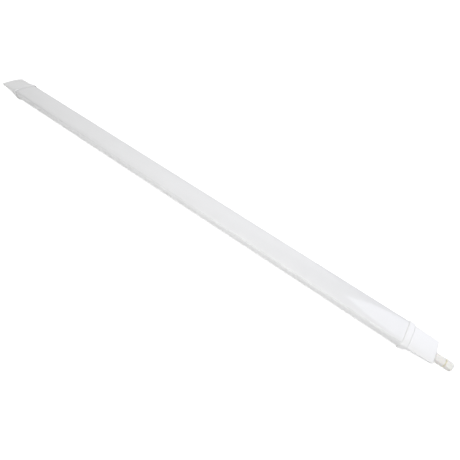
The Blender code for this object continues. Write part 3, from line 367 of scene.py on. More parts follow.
def softened(points, reach=EDGE):
    """A closed outline whose sharp corners P become curves (1-t)^2 A + 2t(1-t) P + t^2 C, with A and C on
    the corner's two sides, reach away from P but never more than a third of the way along a side."""
    points = np.asarray(points, float)
    back = np.roll(points, 1, 0) - points
    ahead = np.roll(points, -1, 0) - points
    long_back = np.linalg.norm(back, axis=1)
    long_ahead = np.linalg.norm(ahead, axis=1)
    cosine = -(back * ahead).sum(1) / (long_back * long_ahead)
    sharp = cosine < math.cos(math.radians(CORNER_DEGREES))
    start = points + back * np.minimum(reach / long_back, SIDE_SHARE)[:, None]
    end = points + ahead * np.minimum(reach / long_ahead, SIDE_SHARE)[:, None]
    t = np.linspace(0, 1, CORNER_STEPS)[None, :, None]
    curve = (1 - t) ** 2 * start[:, None] + 2 * t * (1 - t) * points[:, None] + t ** 2 * end[:, None]
    curve[~sharp, 0] = points[~sharp]
    kept = sharp[:, None] | (np.arange(CORNER_STEPS) == 0)
    return curve[kept]


print("a softened square has", len(softened([(0, 0), (1, 0), (1, 1), (0, 1)])), "points")

# %% [markdown]
# The housing is one extrusion of white polycarbonate: a hull open at the top, with a lip that frames the
# cover, and a shallow groove along each side for mounting clips to grip. It could be a solid with parts
# cut away, but a die is a single opening, so a single closed outline comes closest to it. This step works
# out the outside of its right half.

# %% Housing: the outside
LIP_TOP = 23.8 * MM
LIP_ROUND = 0.6 * MM
LIP_STEPS = 7
GROOVE_CENTRE = 13.6 * MM
GROOVE_HALF = 1.4 * MM
GROOVE_DEPTH = 0.7 * MM
SIDE_POINTS = 160
SIDE_CROWDING = 1.22


def side_of(shape, height):
    """Half width of a section at heights under its widest place, which is its side solved for y:
    back_half + (half - back_half) (1 - rise^q)^(1/q), with rise = (widest - height) / (widest - back)."""
    half, widest, crown, back_half, back, dome, side = shape
    rise = np.clip((widest - height) / (widest - back), 0, 1)
    return back_half + (half - back_half) * (1 - rise ** side) ** (1 / side)


def smooth_step(share):
    """A step from 0 to 1 that starts and ends flat: share^2 (3 - 2 share)."""
    return share ** 2 * (3 - 2 * share)


half_width = tube_shape[0]
lip_turn = np.linspace(0, np.pi / 2, LIP_STEPS)
lip_edge = np.stack([
    half_width - LIP_ROUND * (1 - np.sin(lip_turn)),
    LIP_TOP - LIP_ROUND * (1 - np.cos(lip_turn)),
], 1)
# Heights are crowded towards the back, where the side turns flat, and a little towards the widest place.
drop = np.sin(np.linspace(0, np.pi / 2, SIDE_POINTS)) ** SIDE_CROWDING
height = WIDEST - (WIDEST - tube_low.z) * drop
in_groove = np.clip((GROOVE_HALF - np.abs(height - GROOVE_CENTRE)) / GROOVE_DEPTH, 0, 1)
outside = np.stack([side_of(tube_shape, height) - GROOVE_DEPTH * smooth_step(in_groove), height], 1)
outer_loop = np.concatenate([lip_edge, outside])
print("points on the outside:", len(outer_loop))

# %% [markdown]
# Inside, the same extrusion has a shelf that carries the cover, and a slot in which the gear tray slides.
# They could be separate strips, but on the real one they come out of the same die. The slot takes its
# place from the packed tray, with a small gap all round.

# %% Housing: the inside, and the whole extrusion
LIP_WALL = 1.1 * MM
BASE_WALL = 1.8 * MM
SHELF_TOP = 22.4 * MM
SHELF_DEPTH = 3.7 * MM
GAP = 0.3 * MM
RIB = 1.4 * MM
INSIDE_POINTS = 40
tray_low, tray_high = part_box("gear_tray")
lip_inside = half_width - LIP_WALL
shelf_inside = lip_inside - SHELF_DEPTH
slot_side = tray_high.y + GAP
slot_top = tray_high.z + GAP
slot_bottom = tray_low.z - GAP
rib_bottom = slot_bottom - RIB
hollow_shape = grown(tube_shape, -BASE_WALL)
inner_height = np.linspace(rib_bottom, BASE_WALL, INSIDE_POINTS)
inside = np.stack([side_of(hollow_shape, inner_height), inner_height], 1)
shelf = np.array([
    (shelf_inside, rib_bottom), (shelf_inside, slot_bottom), (slot_side, slot_bottom),
    (slot_side, slot_top), (shelf_inside, slot_top),
    (shelf_inside, SHELF_TOP), (lip_inside, SHELF_TOP), (lip_inside, LIP_TOP),
])
inner_loop = np.concatenate([inside[::-1], shelf])
hull_outline = softened(np.concatenate([
    outer_loop, outer_loop[::-1] * OTHER_SIDE, inner_loop[::-1] * OTHER_SIDE, inner_loop,
]))
housing = extruded("housing", hull_outline, tube_low.x, tube_high.x)
dress(housing, "white_polycarbonate", ROOT, "housing_base")

# %% [markdown]
# Tubes, rings and screw holes are round. Blender has a Spin tool for them, but the place of each point is
# simply a circle swept along X, outside and back, so it is worked out on a grid as the rest is. The radius
# may also change round a row, which later makes hexagons and threads. A hole could be left out of a grid
# only where rows and columns meet its edge, so holes are cut with the Boolean modifier.

# %% Surfaces turned about a line along the light, and carving
ROUND = 96


def turned(name, x, radius, axis, columns=ROUND, ring=False):
    """Rows at places x, each a ring of the given radius about a line along X through (y, z) = axis:
    y = axis_y + radius cos(angle), z = axis_z + radius sin(angle). Radius may also vary round a row."""
    angle = np.arange(columns) / columns * 2 * np.pi
    radius = np.broadcast_to(np.reshape(radius, (len(x), -1)), (len(x), columns))
    along = np.broadcast_to(np.reshape(x, (-1, 1)), radius.shape)
    grid = np.stack([along, axis[0] + radius * np.cos(angle), axis[1] + radius * np.sin(angle)], -1)
    return skin(name, grid, ring)


def tube(name, low, high, outer, bore, axis, columns=ROUND):
    """A ring or tube: the closed outline of its wall, with softened corners, turned about its axis."""
    wall = softened([(low, bore), (low, outer), (high, outer), (high, bore)])
    return turned(name, wall[:, 0], wall[:, 1], axis, columns, ring=True)


def carve(piece, tool, operation="DIFFERENCE"):
    """Cut a tool out of a piece, or join it on, and keep only the finished mesh."""
    cut = piece.modifiers.new("carve", "BOOLEAN")
    cut.operation = operation
    cut.solver = "EXACT"
    cut.object = tool
    depsgraph = bpy.context.evaluated_depsgraph_get()
    carved = bpy.data.meshes.new_from_object(piece.evaluated_get(depsgraph))
    piece.modifiers.clear()
    uncut = piece.data
    piece.data = carved
    bpy.data.meshes.remove(uncut)
    bpy.data.objects.remove(tool)
    return piece


print("a round piece has", ROUND, "facets round it")

# %% [markdown]
# The screw ports are round tubes in the housing, which the cap screws bite into at both ends. A thin web
# holds each to its side of the hull. They could be drawn into the housing's outline, but a single outline
# can't hold a closed bore, so each is a tube with its web joined on.

# %% Screw ports in the housing
PORT_BORE = 1.8 * MM
PORT_WALL = 1.3 * MM
PORT_COLUMNS = 48
WEB = 1.4 * MM
WEB_BITE = BASE_WALL / 3
port_end = tube_high.x - GAP
screw_low, screw_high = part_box("entry_cap_screw_left")
screw_spread = (screw_low.y + screw_high.y) / 2
screw_height = (screw_low.z + screw_high.z) / 2
web_reach = side_of(hollow_shape, np.array([screw_height]))[0] + WEB_BITE
web_bottom = screw_height - WEB / 2
web_top = screw_height + WEB / 2
for side, sign in (("left", 1), ("right", -1)):
    y = screw_spread * sign
    port = tube(
        f"screw_port_{side}", -port_end, port_end, PORT_BORE + PORT_WALL, PORT_BORE,
        (y, screw_height), PORT_COLUMNS,
    )
    low, high = sorted((y + (PORT_BORE + PORT_WALL / 2) * sign, web_reach * sign))
    section = np.array([(low, web_bottom), (high, web_bottom), (high, web_top), (low, web_top)])
    web = extruded("web", section, GAP - port_end, port_end - GAP)
    dress(carve(port, web, "UNION"), "white_polycarbonate", ROOT, "housing_base")

# %% [markdown]
# The cover is a second extrusion, milky so that no lit point shows through. It could be a bent sheet, but
# it is the dome of the same section, cut off at the lip, so the same formula draws it. It stands a little
# above the lip, with a softened shoulder, and a hairline gap runs between the two along the whole light.

# %% Milky cover
COVER_WALL = 1.6 * MM
SHOULDER = 0.5 * MM
DOME_POINTS = 220


def dome_of(shape, reach, count):
    """Points from y = reach to y = -reach on the dome, which is solved for z:
    z = widest + (crown - widest) (1 - |y / half|^p)^(1/p)."""
    half, widest, crown, back_half, back, dome, side = shape
    y = reach * np.sin(np.linspace(np.pi / 2, -np.pi / 2, count))
    return np.stack([y, widest + (crown - widest) * (1 - (np.abs(y) / half) ** dome) ** (1 / dome)], 1)


cover_low, cover_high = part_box("diffuser")
cover_outline = softened(np.concatenate([
    [(cover_high.y, cover_low.z)],
    dome_of(tube_shape, cover_high.y, DOME_POINTS),
    [(cover_low.y, cover_low.z), (cover_low.y + COVER_WALL, cover_low.z)],
    dome_of(grown(tube_shape, -COVER_WALL), cover_high.y - COVER_WALL, DOME_POINTS)[::-1],
    [(cover_high.y - COVER_WALL, cover_low.z)],
]), SHOULDER)
cover = extruded("milky_cover", cover_outline, cover_low.x, cover_high.x)
dress(cover, "opal_polycarbonate", ROOT, "diffuser")

# %% [markdown]
# Each tube end wears a moulded collar that stands proud of both the tube and the cap. It could be cut from
# a block with booleans, but its rounded edges would need a bevel on a curved rim. As one closed surface it
# goes round its own thin section, over the rounded outside and back through the narrow pocket for the
# cap's neck and the wider one for the tube, and round the light. The section under it changes from the
# tube's to the cap's mouth, so each row of points takes its own share of the two.

# %% Collars
# A section's sizes are half width, height of the widest place, crown, half width of the back, and back.
MOUTH_SIZES = (29.8, 21.2, 27.6, 10.6, 0.4)
MOUTH_POWERS = (2.04, 1.36)
COLLAR_LIP = 0.9 * MM
COLLAR_PROUD = 2.3 * MM
COLLAR_ROUND = 2.4 * MM
COLLAR_EASE = 1.5
NECK_INSET = 1.4 * MM
AROUND = 360
ROUND_STEPS = 10
# The angles of a quarter turn, for rounded edges.
QUARTER = np.linspace(0, np.pi / 2, ROUND_STEPS)
mouth_shape = np.concatenate([np.array(MOUTH_SIZES) * MM, MOUTH_POWERS])


def between(first, second, share):
    """The section that is part of the way from one to another."""
    return first + (second - first) * share


def loft(name, rows, sign, ring=False):
    """Stand the outline of each row (x, section) at its place, and join them."""
    grid = np.stack([standing(x * sign, outline(shape, AROUND)) for x, shape in rows])
    return skin(name, grid, ring)


def collar(name, node, sign):
    """Outside: proud = lip + (proud - lip) sin(t) while x moves in by round (1 - cos(t)), at both edges.
    The section under it is the tube's at the start and the mouth's at the end, and in between the share
    of the way to the power of ease."""
    low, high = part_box(node)
    start, end = sorted((abs(low.x), abs(high.x)))
    neck_start = min(abs(corner.x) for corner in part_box(node.replace("collar", "cap")))
    moved_in = COLLAR_ROUND * (1 - np.cos(QUARTER))
    x = np.r_[moved_in, (end - start) - moved_in[::-1]] + start
    proud = COLLAR_LIP + (COLLAR_PROUD - COLLAR_LIP) * np.sin(np.r_[QUARTER, QUARTER[::-1]])
    share = ((x - start) / (end - start)) ** COLLAR_EASE
    rows = [
        (row_x, grown(between(tube_shape, mouth_shape, row_share), row_proud))
        for row_x, row_share, row_proud in zip(x, share, proud)
    ]
    neck_pocket = grown(mouth_shape, GAP - NECK_INSET)
    tube_pocket = grown(tube_shape, GAP)
    rows += [(end, neck_pocket), (neck_start, neck_pocket), (neck_start, tube_pocket), (start, tube_pocket)]
    return dress(loft(name, rows, sign, ring=True), "white_polycarbonate", ROOT, node)


collar("entry_collar_band", "entry_collar", 1)
collar("far_collar_band", "far_collar", -1)

# %% [markdown]
# The end caps are hollow mouldings. A neck slides inside the collar, then the body narrows from its mouth
# to a rounded end face. A subdivided box could come near that, but a loft through stated sections meets
# the collar exactly. This step works out the outside.

# %% End caps: the outside
TIP_SIZES = (28.3, 21.0, 24.2, 6.7, 0.6)
TIP_POWERS = (2.04, 1.22)
CAP_ROUND = 2.2 * MM
MOUTH_EDGE = 0.35 * MM
MOUTH_STEP = 3
BODY_ROWS = 14
tip_shape = np.concatenate([np.array(TIP_SIZES) * MM, TIP_POWERS])
neck_shape = grown(mouth_shape, -NECK_INSET)


def cap_outside(start, shoulder, end):
    """Rows (x, section): the neck, the mouth's small edge, a body whose section goes evenly from mouth to
    tip, then the rounding x = end - round (1 - sin(t)), smaller by round (1 - cos(t))."""
    rows = [(start, neck_shape), (shoulder, neck_shape)]
    for t in QUARTER[::MOUTH_STEP]:
        edge = grown(mouth_shape, MOUTH_EDGE * (np.sin(t) - 1))
        rows.append((shoulder + MOUTH_EDGE * (1 - np.cos(t)), edge))
    straight = end - CAP_ROUND - shoulder
    for share in np.linspace(0, 1, BODY_ROWS)[1:-1]:
        rows.append((shoulder + straight * share, between(mouth_shape, tip_shape, share)))
    for t in QUARTER:
        rounding = grown(tip_shape, CAP_ROUND * (np.cos(t) - 1))
        rows.append((end - CAP_ROUND * (1 - np.sin(t)), rounding))
    return rows


print("the cap narrows from", MOUTH_SIZES[0], "to", TIP_SIZES[0], "mm half width")

# %% [markdown]
# A moulding has walls of even thickness, so the inside is a second, smaller loft, and two pillars stand in
# it round the screws. It could be one more grid, but the holes cross it, so all of these are carved out of
# the outside: the hollow, the screw holes with their deep counterbores, and the hole for the gland.

# %% End caps: the hollow and the holes
CAP_WALL = 2.0 * MM
CAP_END_WALL = 3.0 * MM
COUNTERBORE = 3.1 * MM
PILLAR_WALL = 1.2 * MM
SCREW_SEAT = 35.0 * MM
OVERRUN = 2.0 * MM
HOLE_COLUMNS = 48
GLAND_HOLE = 6.3 * MM
gland_low, gland_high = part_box("gland_body")
gland_axis = ((gland_low.y + gland_high.y) / 2, (gland_low.z + gland_high.z) / 2)
screw_axes = [(screw_spread * side, screw_height) for side in (1, -1)]


def rod(name, low, high, radius, axis, sign):
    """A plain round tool for carving, from low to high along the light."""
    return turned(name, np.array([low, high]) * sign, np.array([radius, radius]), axis, HOLE_COLUMNS)


def cap_hollow(start, shoulder, inner_end, sign):
    """The room inside, a loft of the neck's and the tip's sections less a wall, without the pillars."""
    hollow_neck = grown(neck_shape, -CAP_WALL)
    rows = [
        (start - OVERRUN, hollow_neck), (shoulder + CAP_WALL, hollow_neck),
        (inner_end, grown(tip_shape, -CAP_WALL)),
    ]
    hollow = loft("hollow", rows, sign)
    pillar_radius = COUNTERBORE + PILLAR_WALL
    for axis in screw_axes:
        carve(hollow, rod("pillar", start + GAP, inner_end + OVERRUN, pillar_radius, axis, sign))
    return hollow


def cap(name, node, sign, gland_holes):
    """Loft the outside, then carve the hollow, the screw holes and the gland's holes of given radii."""
    low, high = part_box(node)
    start, end = sorted((abs(low.x), abs(high.x)))
    collar_end = max(abs(corner.x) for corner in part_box(node.replace("cap", "collar")))
    shoulder = collar_end + GAP
    inner_end = end - CAP_END_WALL
    shell = loft(name, cap_outside(start, shoulder, end), sign)
    carve(shell, cap_hollow(start, shoulder, inner_end, sign))
    for axis in screw_axes:
        carve(shell, rod("hole", start - OVERRUN, end + OVERRUN, PORT_BORE, axis, sign))
        carve(shell, rod("counterbore", end - SCREW_SEAT, end + OVERRUN, COUNTERBORE, axis, sign))
    for radius in gland_holes:
        carve(shell, rod("gland_hole", inner_end - OVERRUN, end + OVERRUN, radius, gland_axis, sign))
    return dress(shell, "white_polycarbonate", ROOT, node)


cap("entry_cap_shell", "entry_cap", 1, [GLAND_HOLE])
cap("far_cap_shell", "far_cap", -1, [])

# %% [markdown]
# The cable gland is moulded nylon. Its hexagon could be a six-sided prism with a bevel, but a real one
# also has turned cones at its ends. So the radius at every angle is the smaller of two: that of the flat
# sides, and that of the turned shape. A soft minimum rounds the edges between them the way a mould does.
# A thread is a ridge that winds along the stem, one turn in each pitch.

# %% Cable gland: hexagon and thread
HEX_ACROSS = 15.8 * MM
HEX_TURN = math.radians(8)
HEX_SIDE = np.pi / 3
HEX_SOFT = 0.10 * MM
HEX_ROUND = 0.985
PITCH = 1.5 * MM
THREAD_DEPTH = 0.55 * MM
RIDGE_STEEP = 1.4
RIDGE_SINK = 0.2
STEM = 6.0 * MM
ring_angle = np.arange(ROUND) / ROUND * 2 * np.pi
corner_radius = HEX_ACROSS / math.sqrt(3)


def soft_min(first, second):
    """-s log(exp(-a/s) + exp(-b/s)): the smaller of a and b, with the step between them rounded."""
    return -HEX_SOFT * np.logaddexp(-first / HEX_SOFT, -second / HEX_SOFT)


def hexagonal(radius):
    """Flat sides, half the width across divided by the cosine of the angle from the nearest flat, soft
    against each row's own radius and against a circle just inside the corners."""
    from_flat = (ring_angle - HEX_TURN + HEX_SIDE / 2) % HEX_SIDE - HEX_SIDE / 2
    sides = np.minimum(HEX_ACROSS / 2 / np.cos(from_flat), corner_radius)
    return soft_min(soft_min(sides, np.full(ROUND, corner_radius * HEX_ROUND)), np.reshape(radius, (-1, 1)))


def threaded(x, low, high):
    """Stem radius less depth times a ridge, fading out at both ends. The ridge is a triangle wave of
    x / pitch - angle / turn, made steeper and sunk a little, so that its crest and root come out flat."""
    wave = (x[:, None] / PITCH - ring_angle / (2 * np.pi)) % 1
    ridge = np.clip(np.abs(wave * 2 - 1) * RIDGE_STEEP - RIDGE_SINK, 0, 1)
    inside_run = np.clip(np.minimum(x - low, high - x) / PITCH, 0, 1)[:, None]
    return STEM - THREAD_DEPTH * ridge * inside_run


def plain(radius):
    """The same radius all the way round, one row for each value."""
    return np.broadcast_to(np.reshape(radius, (-1, 1)), (len(radius), ROUND))


print("hexagon:", round(HEX_ACROSS / MM, 1), "mm across flats")

# %% [markdown]
# The gland's body is one moulding: a threaded shank that goes into the cap, the hexagon, and a threaded
# neck for the dome nut, with a bore for the cable and a wider seat for the seal. Its parts could be made
# one by one, but a mould has no seams between them, so one row of radii after another runs over the
# outside and back through the bore.

# %% Cable gland: body
GLAND_BORE = 3.9 * MM
SEAL_SEAT = 5.1 * MM
STEM_CHAMFER = 0.4 * MM
THREAD_ROW = 0.125 * MM
CONE_RADIUS = 7.6 * MM
CONE_LENGTH = 0.7 * MM
hex_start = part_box("gland_washer")[1].x + GAP
hex_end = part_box("gland_ring")[0].x - GAP
seat_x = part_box("gland_seal")[0].x - GAP
chamfered = STEM - STEM_CHAMFER
cone = np.array([STEM, CONE_RADIUS, (CONE_RADIUS + corner_radius) / 2, corner_radius + GAP])
shank_x = np.arange(gland_low.x + STEM_CHAMFER, hex_start, THREAD_ROW)
neck_x = np.arange(hex_end + THREAD_ROW, gland_high.x - STEM_CHAMFER, THREAD_ROW)
hex_x = [
    hex_start, hex_start, hex_start + CONE_LENGTH / 2, hex_start + CONE_LENGTH,
    hex_end - CONE_LENGTH, hex_end - CONE_LENGTH / 2, hex_end, hex_end,
]
bore_x = [gland_high.x, gland_high.x, seat_x, seat_x, gland_low.x]
body_x = np.concatenate([[gland_low.x], shank_x, hex_x, neck_x, bore_x])
body_radius = np.concatenate([
    plain([chamfered]), threaded(shank_x, gland_low.x, hex_start),
    hexagonal(np.concatenate([cone, cone[::-1]])), threaded(neck_x, hex_end, gland_high.x),
    plain([chamfered, SEAL_SEAT, SEAL_SEAT, GLAND_BORE, GLAND_BORE]),
])
gland = turned("gland_hexagon_and_stem", body_x, body_radius, gland_axis, ring=True)
print("rows along the gland:", len(body_x))

# %% [markdown]
# The end of the neck is slit into claws, which the dome nut presses onto the seal. Slits could be gaps in
# the grid, but they run at angles of their own, so three thin bars are carved across it.

# %% Cable gland: claws
CLAW_SLIT = 0.9 * MM
CLAW_LENGTH = 3.4 * MM
CLAW_PAIRS = 3
CLAW_TURN = math.radians(21)
for claw in range(CLAW_PAIRS):
    tilt = math.pi * claw / CLAW_PAIRS + CLAW_TURN
    across = np.array([math.cos(tilt), math.sin(tilt)])
    up = np.array([-math.sin(tilt), math.cos(tilt)])
    reach = across * (STEM + OVERRUN)
    thin = up * CLAW_SLIT / 2
    bar = np.array([reach - thin, reach + thin, -reach + thin, -reach - thin]) + gland_axis
    carve(gland, extruded("slit", bar, gland_high.x - CLAW_LENGTH, gland_high.x + OVERRUN))
dress(gland, "natural_nylon", ROOT, "gland_body")

# %% [markdown]
# The dome nut has the same hexagon, which runs out into a dome at the front. A sphere joined to a prism
# would show a seam, so the dome is just one more turned radius for the soft minimum: a quarter of an
# ellipse, from wider than the corners down to the flat front.

# %% Cable gland: dome nut
NUT_HEX_LENGTH = 7.8 * MM
NUT_FRONT = 5.2 * MM
NUT_MOUTH = 3.8 * MM
NUT_FRONT_WALL = 2.2 * MM
DOME_STEPS = 25
nut_low, nut_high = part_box("dome_nut")
dome_start = nut_low.x + NUT_HEX_LENGTH
dome_length = nut_high.x - nut_low.x - NUT_HEX_LENGTH + GAP
dome_turn = np.linspace(0, np.pi / 2, DOME_STEPS)
dome_x = dome_start + dome_length * np.sin(dome_turn)
dome_radius = NUT_FRONT + (corner_radius + GAP - NUT_FRONT) * np.cos(dome_turn)
short_of_front = dome_x < nut_high.x - EDGE
dome_x = dome_x[short_of_front]
dome_radius = dome_radius[short_of_front]
cavity_end = nut_high.x - NUT_FRONT_WALL
nut_x = np.concatenate([
    [nut_low.x, nut_low.x, nut_low.x + CONE_LENGTH / 2, nut_low.x + CONE_LENGTH], dome_x,
    [nut_high.x, nut_high.x, nut_high.x - EDGE, cavity_end, cavity_end],
])
nut_radius = np.concatenate([
    plain([GLAND_HOLE]), hexagonal(np.concatenate([cone[1:], dome_radius])),
    plain([dome_radius[-1] - EDGE, NUT_MOUTH + EDGE, NUT_MOUTH, NUT_MOUTH, GLAND_HOLE]),
])
nut = turned("gland_dome_nut", nut_x, nut_radius, gland_axis, ring=True)
dress(nut, "natural_nylon", "nut", "dome_nut")

# %% [markdown]
# Four plain rings finish the gland: a flat washer against the cap, a cream ring between the hexagon and
# the nut, the black seal that grips the cable, and the slip ring that the nut pushes against. They could
# be tori, but these have flat faces, so each is a short tube with softened edges.

# %% Cable gland: rings and seal
SEAL_BORE = 3.5 * MM
SLIP_BORE = 3.6 * MM
for name, node, finish, body, bore in (
    ("washer_ring", "gland_washer", "grey_silicone", ROOT, GLAND_HOLE),
    ("cream_ring", "gland_ring", "cream_silicone", ROOT, GLAND_HOLE),
    ("cable_seal", "gland_seal", "black_rubber", ROOT, SEAL_BORE),
    ("slip_washer", "slip_ring", "natural_nylon", "slip", SLIP_BORE),
):
    low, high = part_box(node)
    outer = (high.y - low.y) / 2
    dress(tube(name, low.x, high.x, outer, bore, gland_axis), finish, body, node)

# %% [markdown]
# Inside the light, and hidden by the cover and caps, sit the tray, boards, driver, terminal block, leads
# and screws. They could be built again as finer surfaces, but their packed solids are already right, so
# they keep their shapes and get real finishes. The screws and the earth tag are metals, which mirror
# their surroundings in their own colour instead of scattering light.

# %% Metals


def metal(name, colour, second, **surface):
    """A metal: the same drift and grain as a plastic, but fully metallic, with the default IOR."""
    return plastic(name, colour, second, Metallic=1.0, **surface)


# Zinc plated on steel screws and passivated clear. It is a cool grey with cloudy, half dull reflections.
finishes["zinc_plated_steel"] = metal(
    "plated_zinc_on_steel", "#C9CCCE", "#BDBFC4", roughness=0.38, drift=0.08, grain=0.4, relief=0.004,
)
# Copper dipped in molten tin. The skin is a warmer grey, with faint waves where it set.
finishes["tinned_copper"] = metal(
    "dipped_tin_on_copper", "#D6D3CC", "#C8C4BB", roughness=0.36, drift=0.08, grain=0.6, relief=0.006,
)
print("finishes with the metals:", len(finishes))

# %% [markdown]
# The tray is painted aluminium, and the driver and the terminal block are moulded. One grey could do for
# them all, because only an open light shows them, but someone who takes a cap off should see what each is
# made of.

# %% Tray, driver and terminal block
# Aluminium sheet under baked powder paint. It is an even white with a fine orange-peel ripple.
finishes["white_coated_aluminium"] = plastic(
    "powder_coated_white_aluminium", "#ECEDEE", "#E9EAEB",
    roughness=0.40, drift=0.04, grain=0.6, relief=0.010, IOR=1.50,
)
# Glass-filled nylon, moulded. It is an ivory white with a satin face.
finishes["white_connector"] = plastic(
    "moulded_white_connector_nylon", "#ECEAE2", "#E8E5DC",
    roughness=0.44, drift=0.04, grain=0.3, relief=0.004,
)
# Flame-retardant polycarbonate from a textured mould. It is a greyish white that hides finger marks.
finishes["driver_shell"] = plastic(
    "moulded_white_driver_polycarbonate", "#E6E6E3", "#E2E2DE",
    roughness=0.46, drift=0.04, grain=0.4, relief=0.010,
)
# Glass fibre and resin under green solder resist. It is deep green and shiny, with the weave just felt.
finishes["green_circuit_board"] = plastic(
    "green_resist_on_glass_fibre", "#1C6B38", "#185F31",
    roughness=0.32, drift=0.04, grain=0.7, relief=0.006,
)
# Polyester tape wound over ferrite. It is amber yellow, with a half gloss and small creases.
finishes["ferrite_and_tape"] = plastic(
    "yellow_tape_on_ferrite", "#C9A23A", "#BB9430",
    roughness=0.38, drift=0.06, grain=0.8, relief=0.012,
)
# Plastic film shrunk onto a can. It is a bluish black and takes the can's smoothness.
finishes["capacitor_sleeve"] = plastic(
    "shrunk_black_capacitor_sleeve", "#1B1D24", "#22242B",
    roughness=0.34, drift=0.04, grain=0.5, relief=0.004,
)
# Polyamide, moulded in grey for the block and in orange for its buttons. Both are satin and even.
finishes["grey_polyamide"] = plastic(
    "moulded_grey_polyamide", "#A9ABAC", "#A3A5A6",
    roughness=0.46, drift=0.04, grain=0.3, relief=0.006,
)
finishes["orange_polyamide"] = plastic(
    "moulded_orange_polyamide", "#E8701C", "#DD6716",
    roughness=0.42, drift=0.04, grain=0.3, relief=0.006,
)
print("finishes with those of tray, driver and block:", len(finishes))

# %% [markdown]
# The leads are insulated in PVC, whose colours say what each wire does. Plain colours are plastics as
# before. The earth lead has two colours in stripes. It could be two pieces, but it is one extrusion, so
# a wave of Blender's picks the colour at each place.

# %% Insulation of the leads
INSULATION = {"roughness": 0.36, "drift": 0.04, "grain": 0.4, "relief": 0.004}
# The wave repeats every pi / 10 of this unit (mm), so a unit of 3 draws a stripe about each millimetre.
STRIPE_UNIT = 3.0
STRIPE_LOW = 0.45
STRIPE_HIGH = 0.55


def mixed_in(made, first, second, share):
    """Colour a material first where share is 0 and second where it is 1."""
    tree = made.node_tree
    mixed = add(
        tree, "ShaderNodeMix", {"data_type": "RGBA", 6: linear(first), 7: linear(second)}, {0: share},
    )
    tree.links.new(mixed.outputs[2], tree.nodes["Principled BSDF"].inputs["Base Color"])
    return made


def striped(name, base, stripe):
    """One colour of insulation, with a second in bands wherever a wave is above its middle."""
    made = plastic(name, base, base, **INSULATION)
    tree = made.node_tree
    place = add(tree, "ShaderNodeTexCoord").outputs["Object"]
    bands = add(
        tree, "ShaderNodeTexWave",
        {"wave_type": "BANDS", "bands_direction": "DIAGONAL", "Scale": 1 / (STRIPE_UNIT * MM)},
        {"Vector": place},
    )
    crisp = add(
        tree, "ShaderNodeMapRange", {"From Min": STRIPE_LOW, "From Max": STRIPE_HIGH},
        {"Value": bands.outputs["Fac"]},
    )
    return mixed_in(made, base, stripe, crisp.outputs["Result"])


# PVC pressed round the wire while hot. It is smooth and half glossy, with full, even colour.
finishes["brown_insulation"] = plastic("extruded_brown_pvc", "#5A3320", "#52301E", **INSULATION)
finishes["blue_insulation"] = plastic("extruded_blue_pvc", "#1E50A8", "#1B4A9C", **INSULATION)
finishes["red_insulation"] = plastic("extruded_red_pvc", "#B42420", "#A8201D", **INSULATION)
finishes["black_insulation"] = plastic("extruded_black_pvc", "#1A1A1A", "#202020", **INSULATION)
finishes["green_yellow_insulation"] = striped("extruded_green_yellow_pvc", "#2E8B3A", "#E3CF2B")
print("insulations:", sorted(name for name in finishes if name.endswith("insulation")))

# %% [markdown]
# The LED boards are white, with small yellow lights on top. The packages could have a material each, but
# a board and its packages are one packed solid, so the height of a point tells them apart.

# %% LED boards, and a finish for every solid
PACKAGE_TOP = 0.2 * MM
PACKAGE_BLEND = 0.1 * MM


def lit_board(name, resist, phosphor, start):
    """White solder resist, with phosphor yellow wherever z is above start."""
    made = plastic(name, resist, resist, roughness=0.38, drift=0.04, grain=0.6, relief=0.004)
    tree = made.node_tree
    place = add(tree, "ShaderNodeTexCoord").outputs["Object"]
    parts = add(tree, "ShaderNodeSeparateXYZ", {}, {"Vector": place})
    above = add(
        tree, "ShaderNodeMapRange", {"From Min": start, "From Max": start + PACKAGE_BLEND},
        {"Value": parts.outputs["Z"]},
    )
    return mixed_in(made, resist, phosphor, above.outputs["Result"])


# White solder resist, printed and baked, with phosphor in clear silicone on the packages. The white is
# bright and satin, and the packages stand out in a soft yellow.
board_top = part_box("led_board_1")[1].z
finishes["white_solder_resist"] = lit_board(
    "white_resist_with_phosphor", "#F2F2EE", "#E9D66A", board_top - PACKAGE_TOP,
)
for part in frame["record"]["subparts"]:
    solid = frame["nodes"][part["node"]]
    solid.data.materials.clear()
    solid.data.materials.append(finishes[part["material_slot"]])

# %% [markdown]
# A pale floor lies just under the collars, which are the lowest part. Stronger lamps could make it white,
# but they would bleach the light too. Instead the paper glows a little, for camera, glossy and
# transmission rays only, which adds no light to the object. Close to the light the glow is weaker, which
# paints shade round it: the soft shadow under it shows, and the hull's underside mirrors a darker floor.

# %% Floor
FLOOR_SIDE = 30.0
FLOOR_COLOUR = "#DEDEDE"
FLOOR_ROUGHNESS = 0.9
# The glow falls from far to near across an oval of these reaches (m) round the light, which paints shade on
# the floor there.
GLOW_IN_PAINTED_SHADE = 0.68
GLOW_FAR = 1.0
PAINTED_SHADE_REACH = (3.0, 1.2, 1.0)
floor_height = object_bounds()[0].z
corners = np.array([(-1, -1), (1, -1), (1, 1), (-1, 1)]) * FLOOR_SIDE / 2
floor_mesh = bpy.data.meshes.new("floor")
floor_points = np.column_stack([corners, np.full(len(corners), floor_height)])
floor_mesh.from_pydata(floor_points.tolist(), [], [range(len(corners))])
floor = bpy.data.objects.new("floor", floor_mesh)
bpy.context.scene.collection.objects.link(floor)


def seen_directly(tree):
    """One for camera, glossy and transmission rays, zero for the rays that carry light about."""
    path = add(tree, "ShaderNodeLightPath")
    shiny = add(
        tree, "ShaderNodeMath", {"operation": "MAXIMUM"},
        {0: path.outputs["Is Glossy Ray"], 1: path.outputs["Is Transmission Ray"]},
    )
    seen = add(
        tree, "ShaderNodeMath", {"operation": "MAXIMUM"},
        {0: shiny.outputs["Value"], 1: path.outputs["Is Camera Ray"]},
    )
    return seen.outputs["Value"]


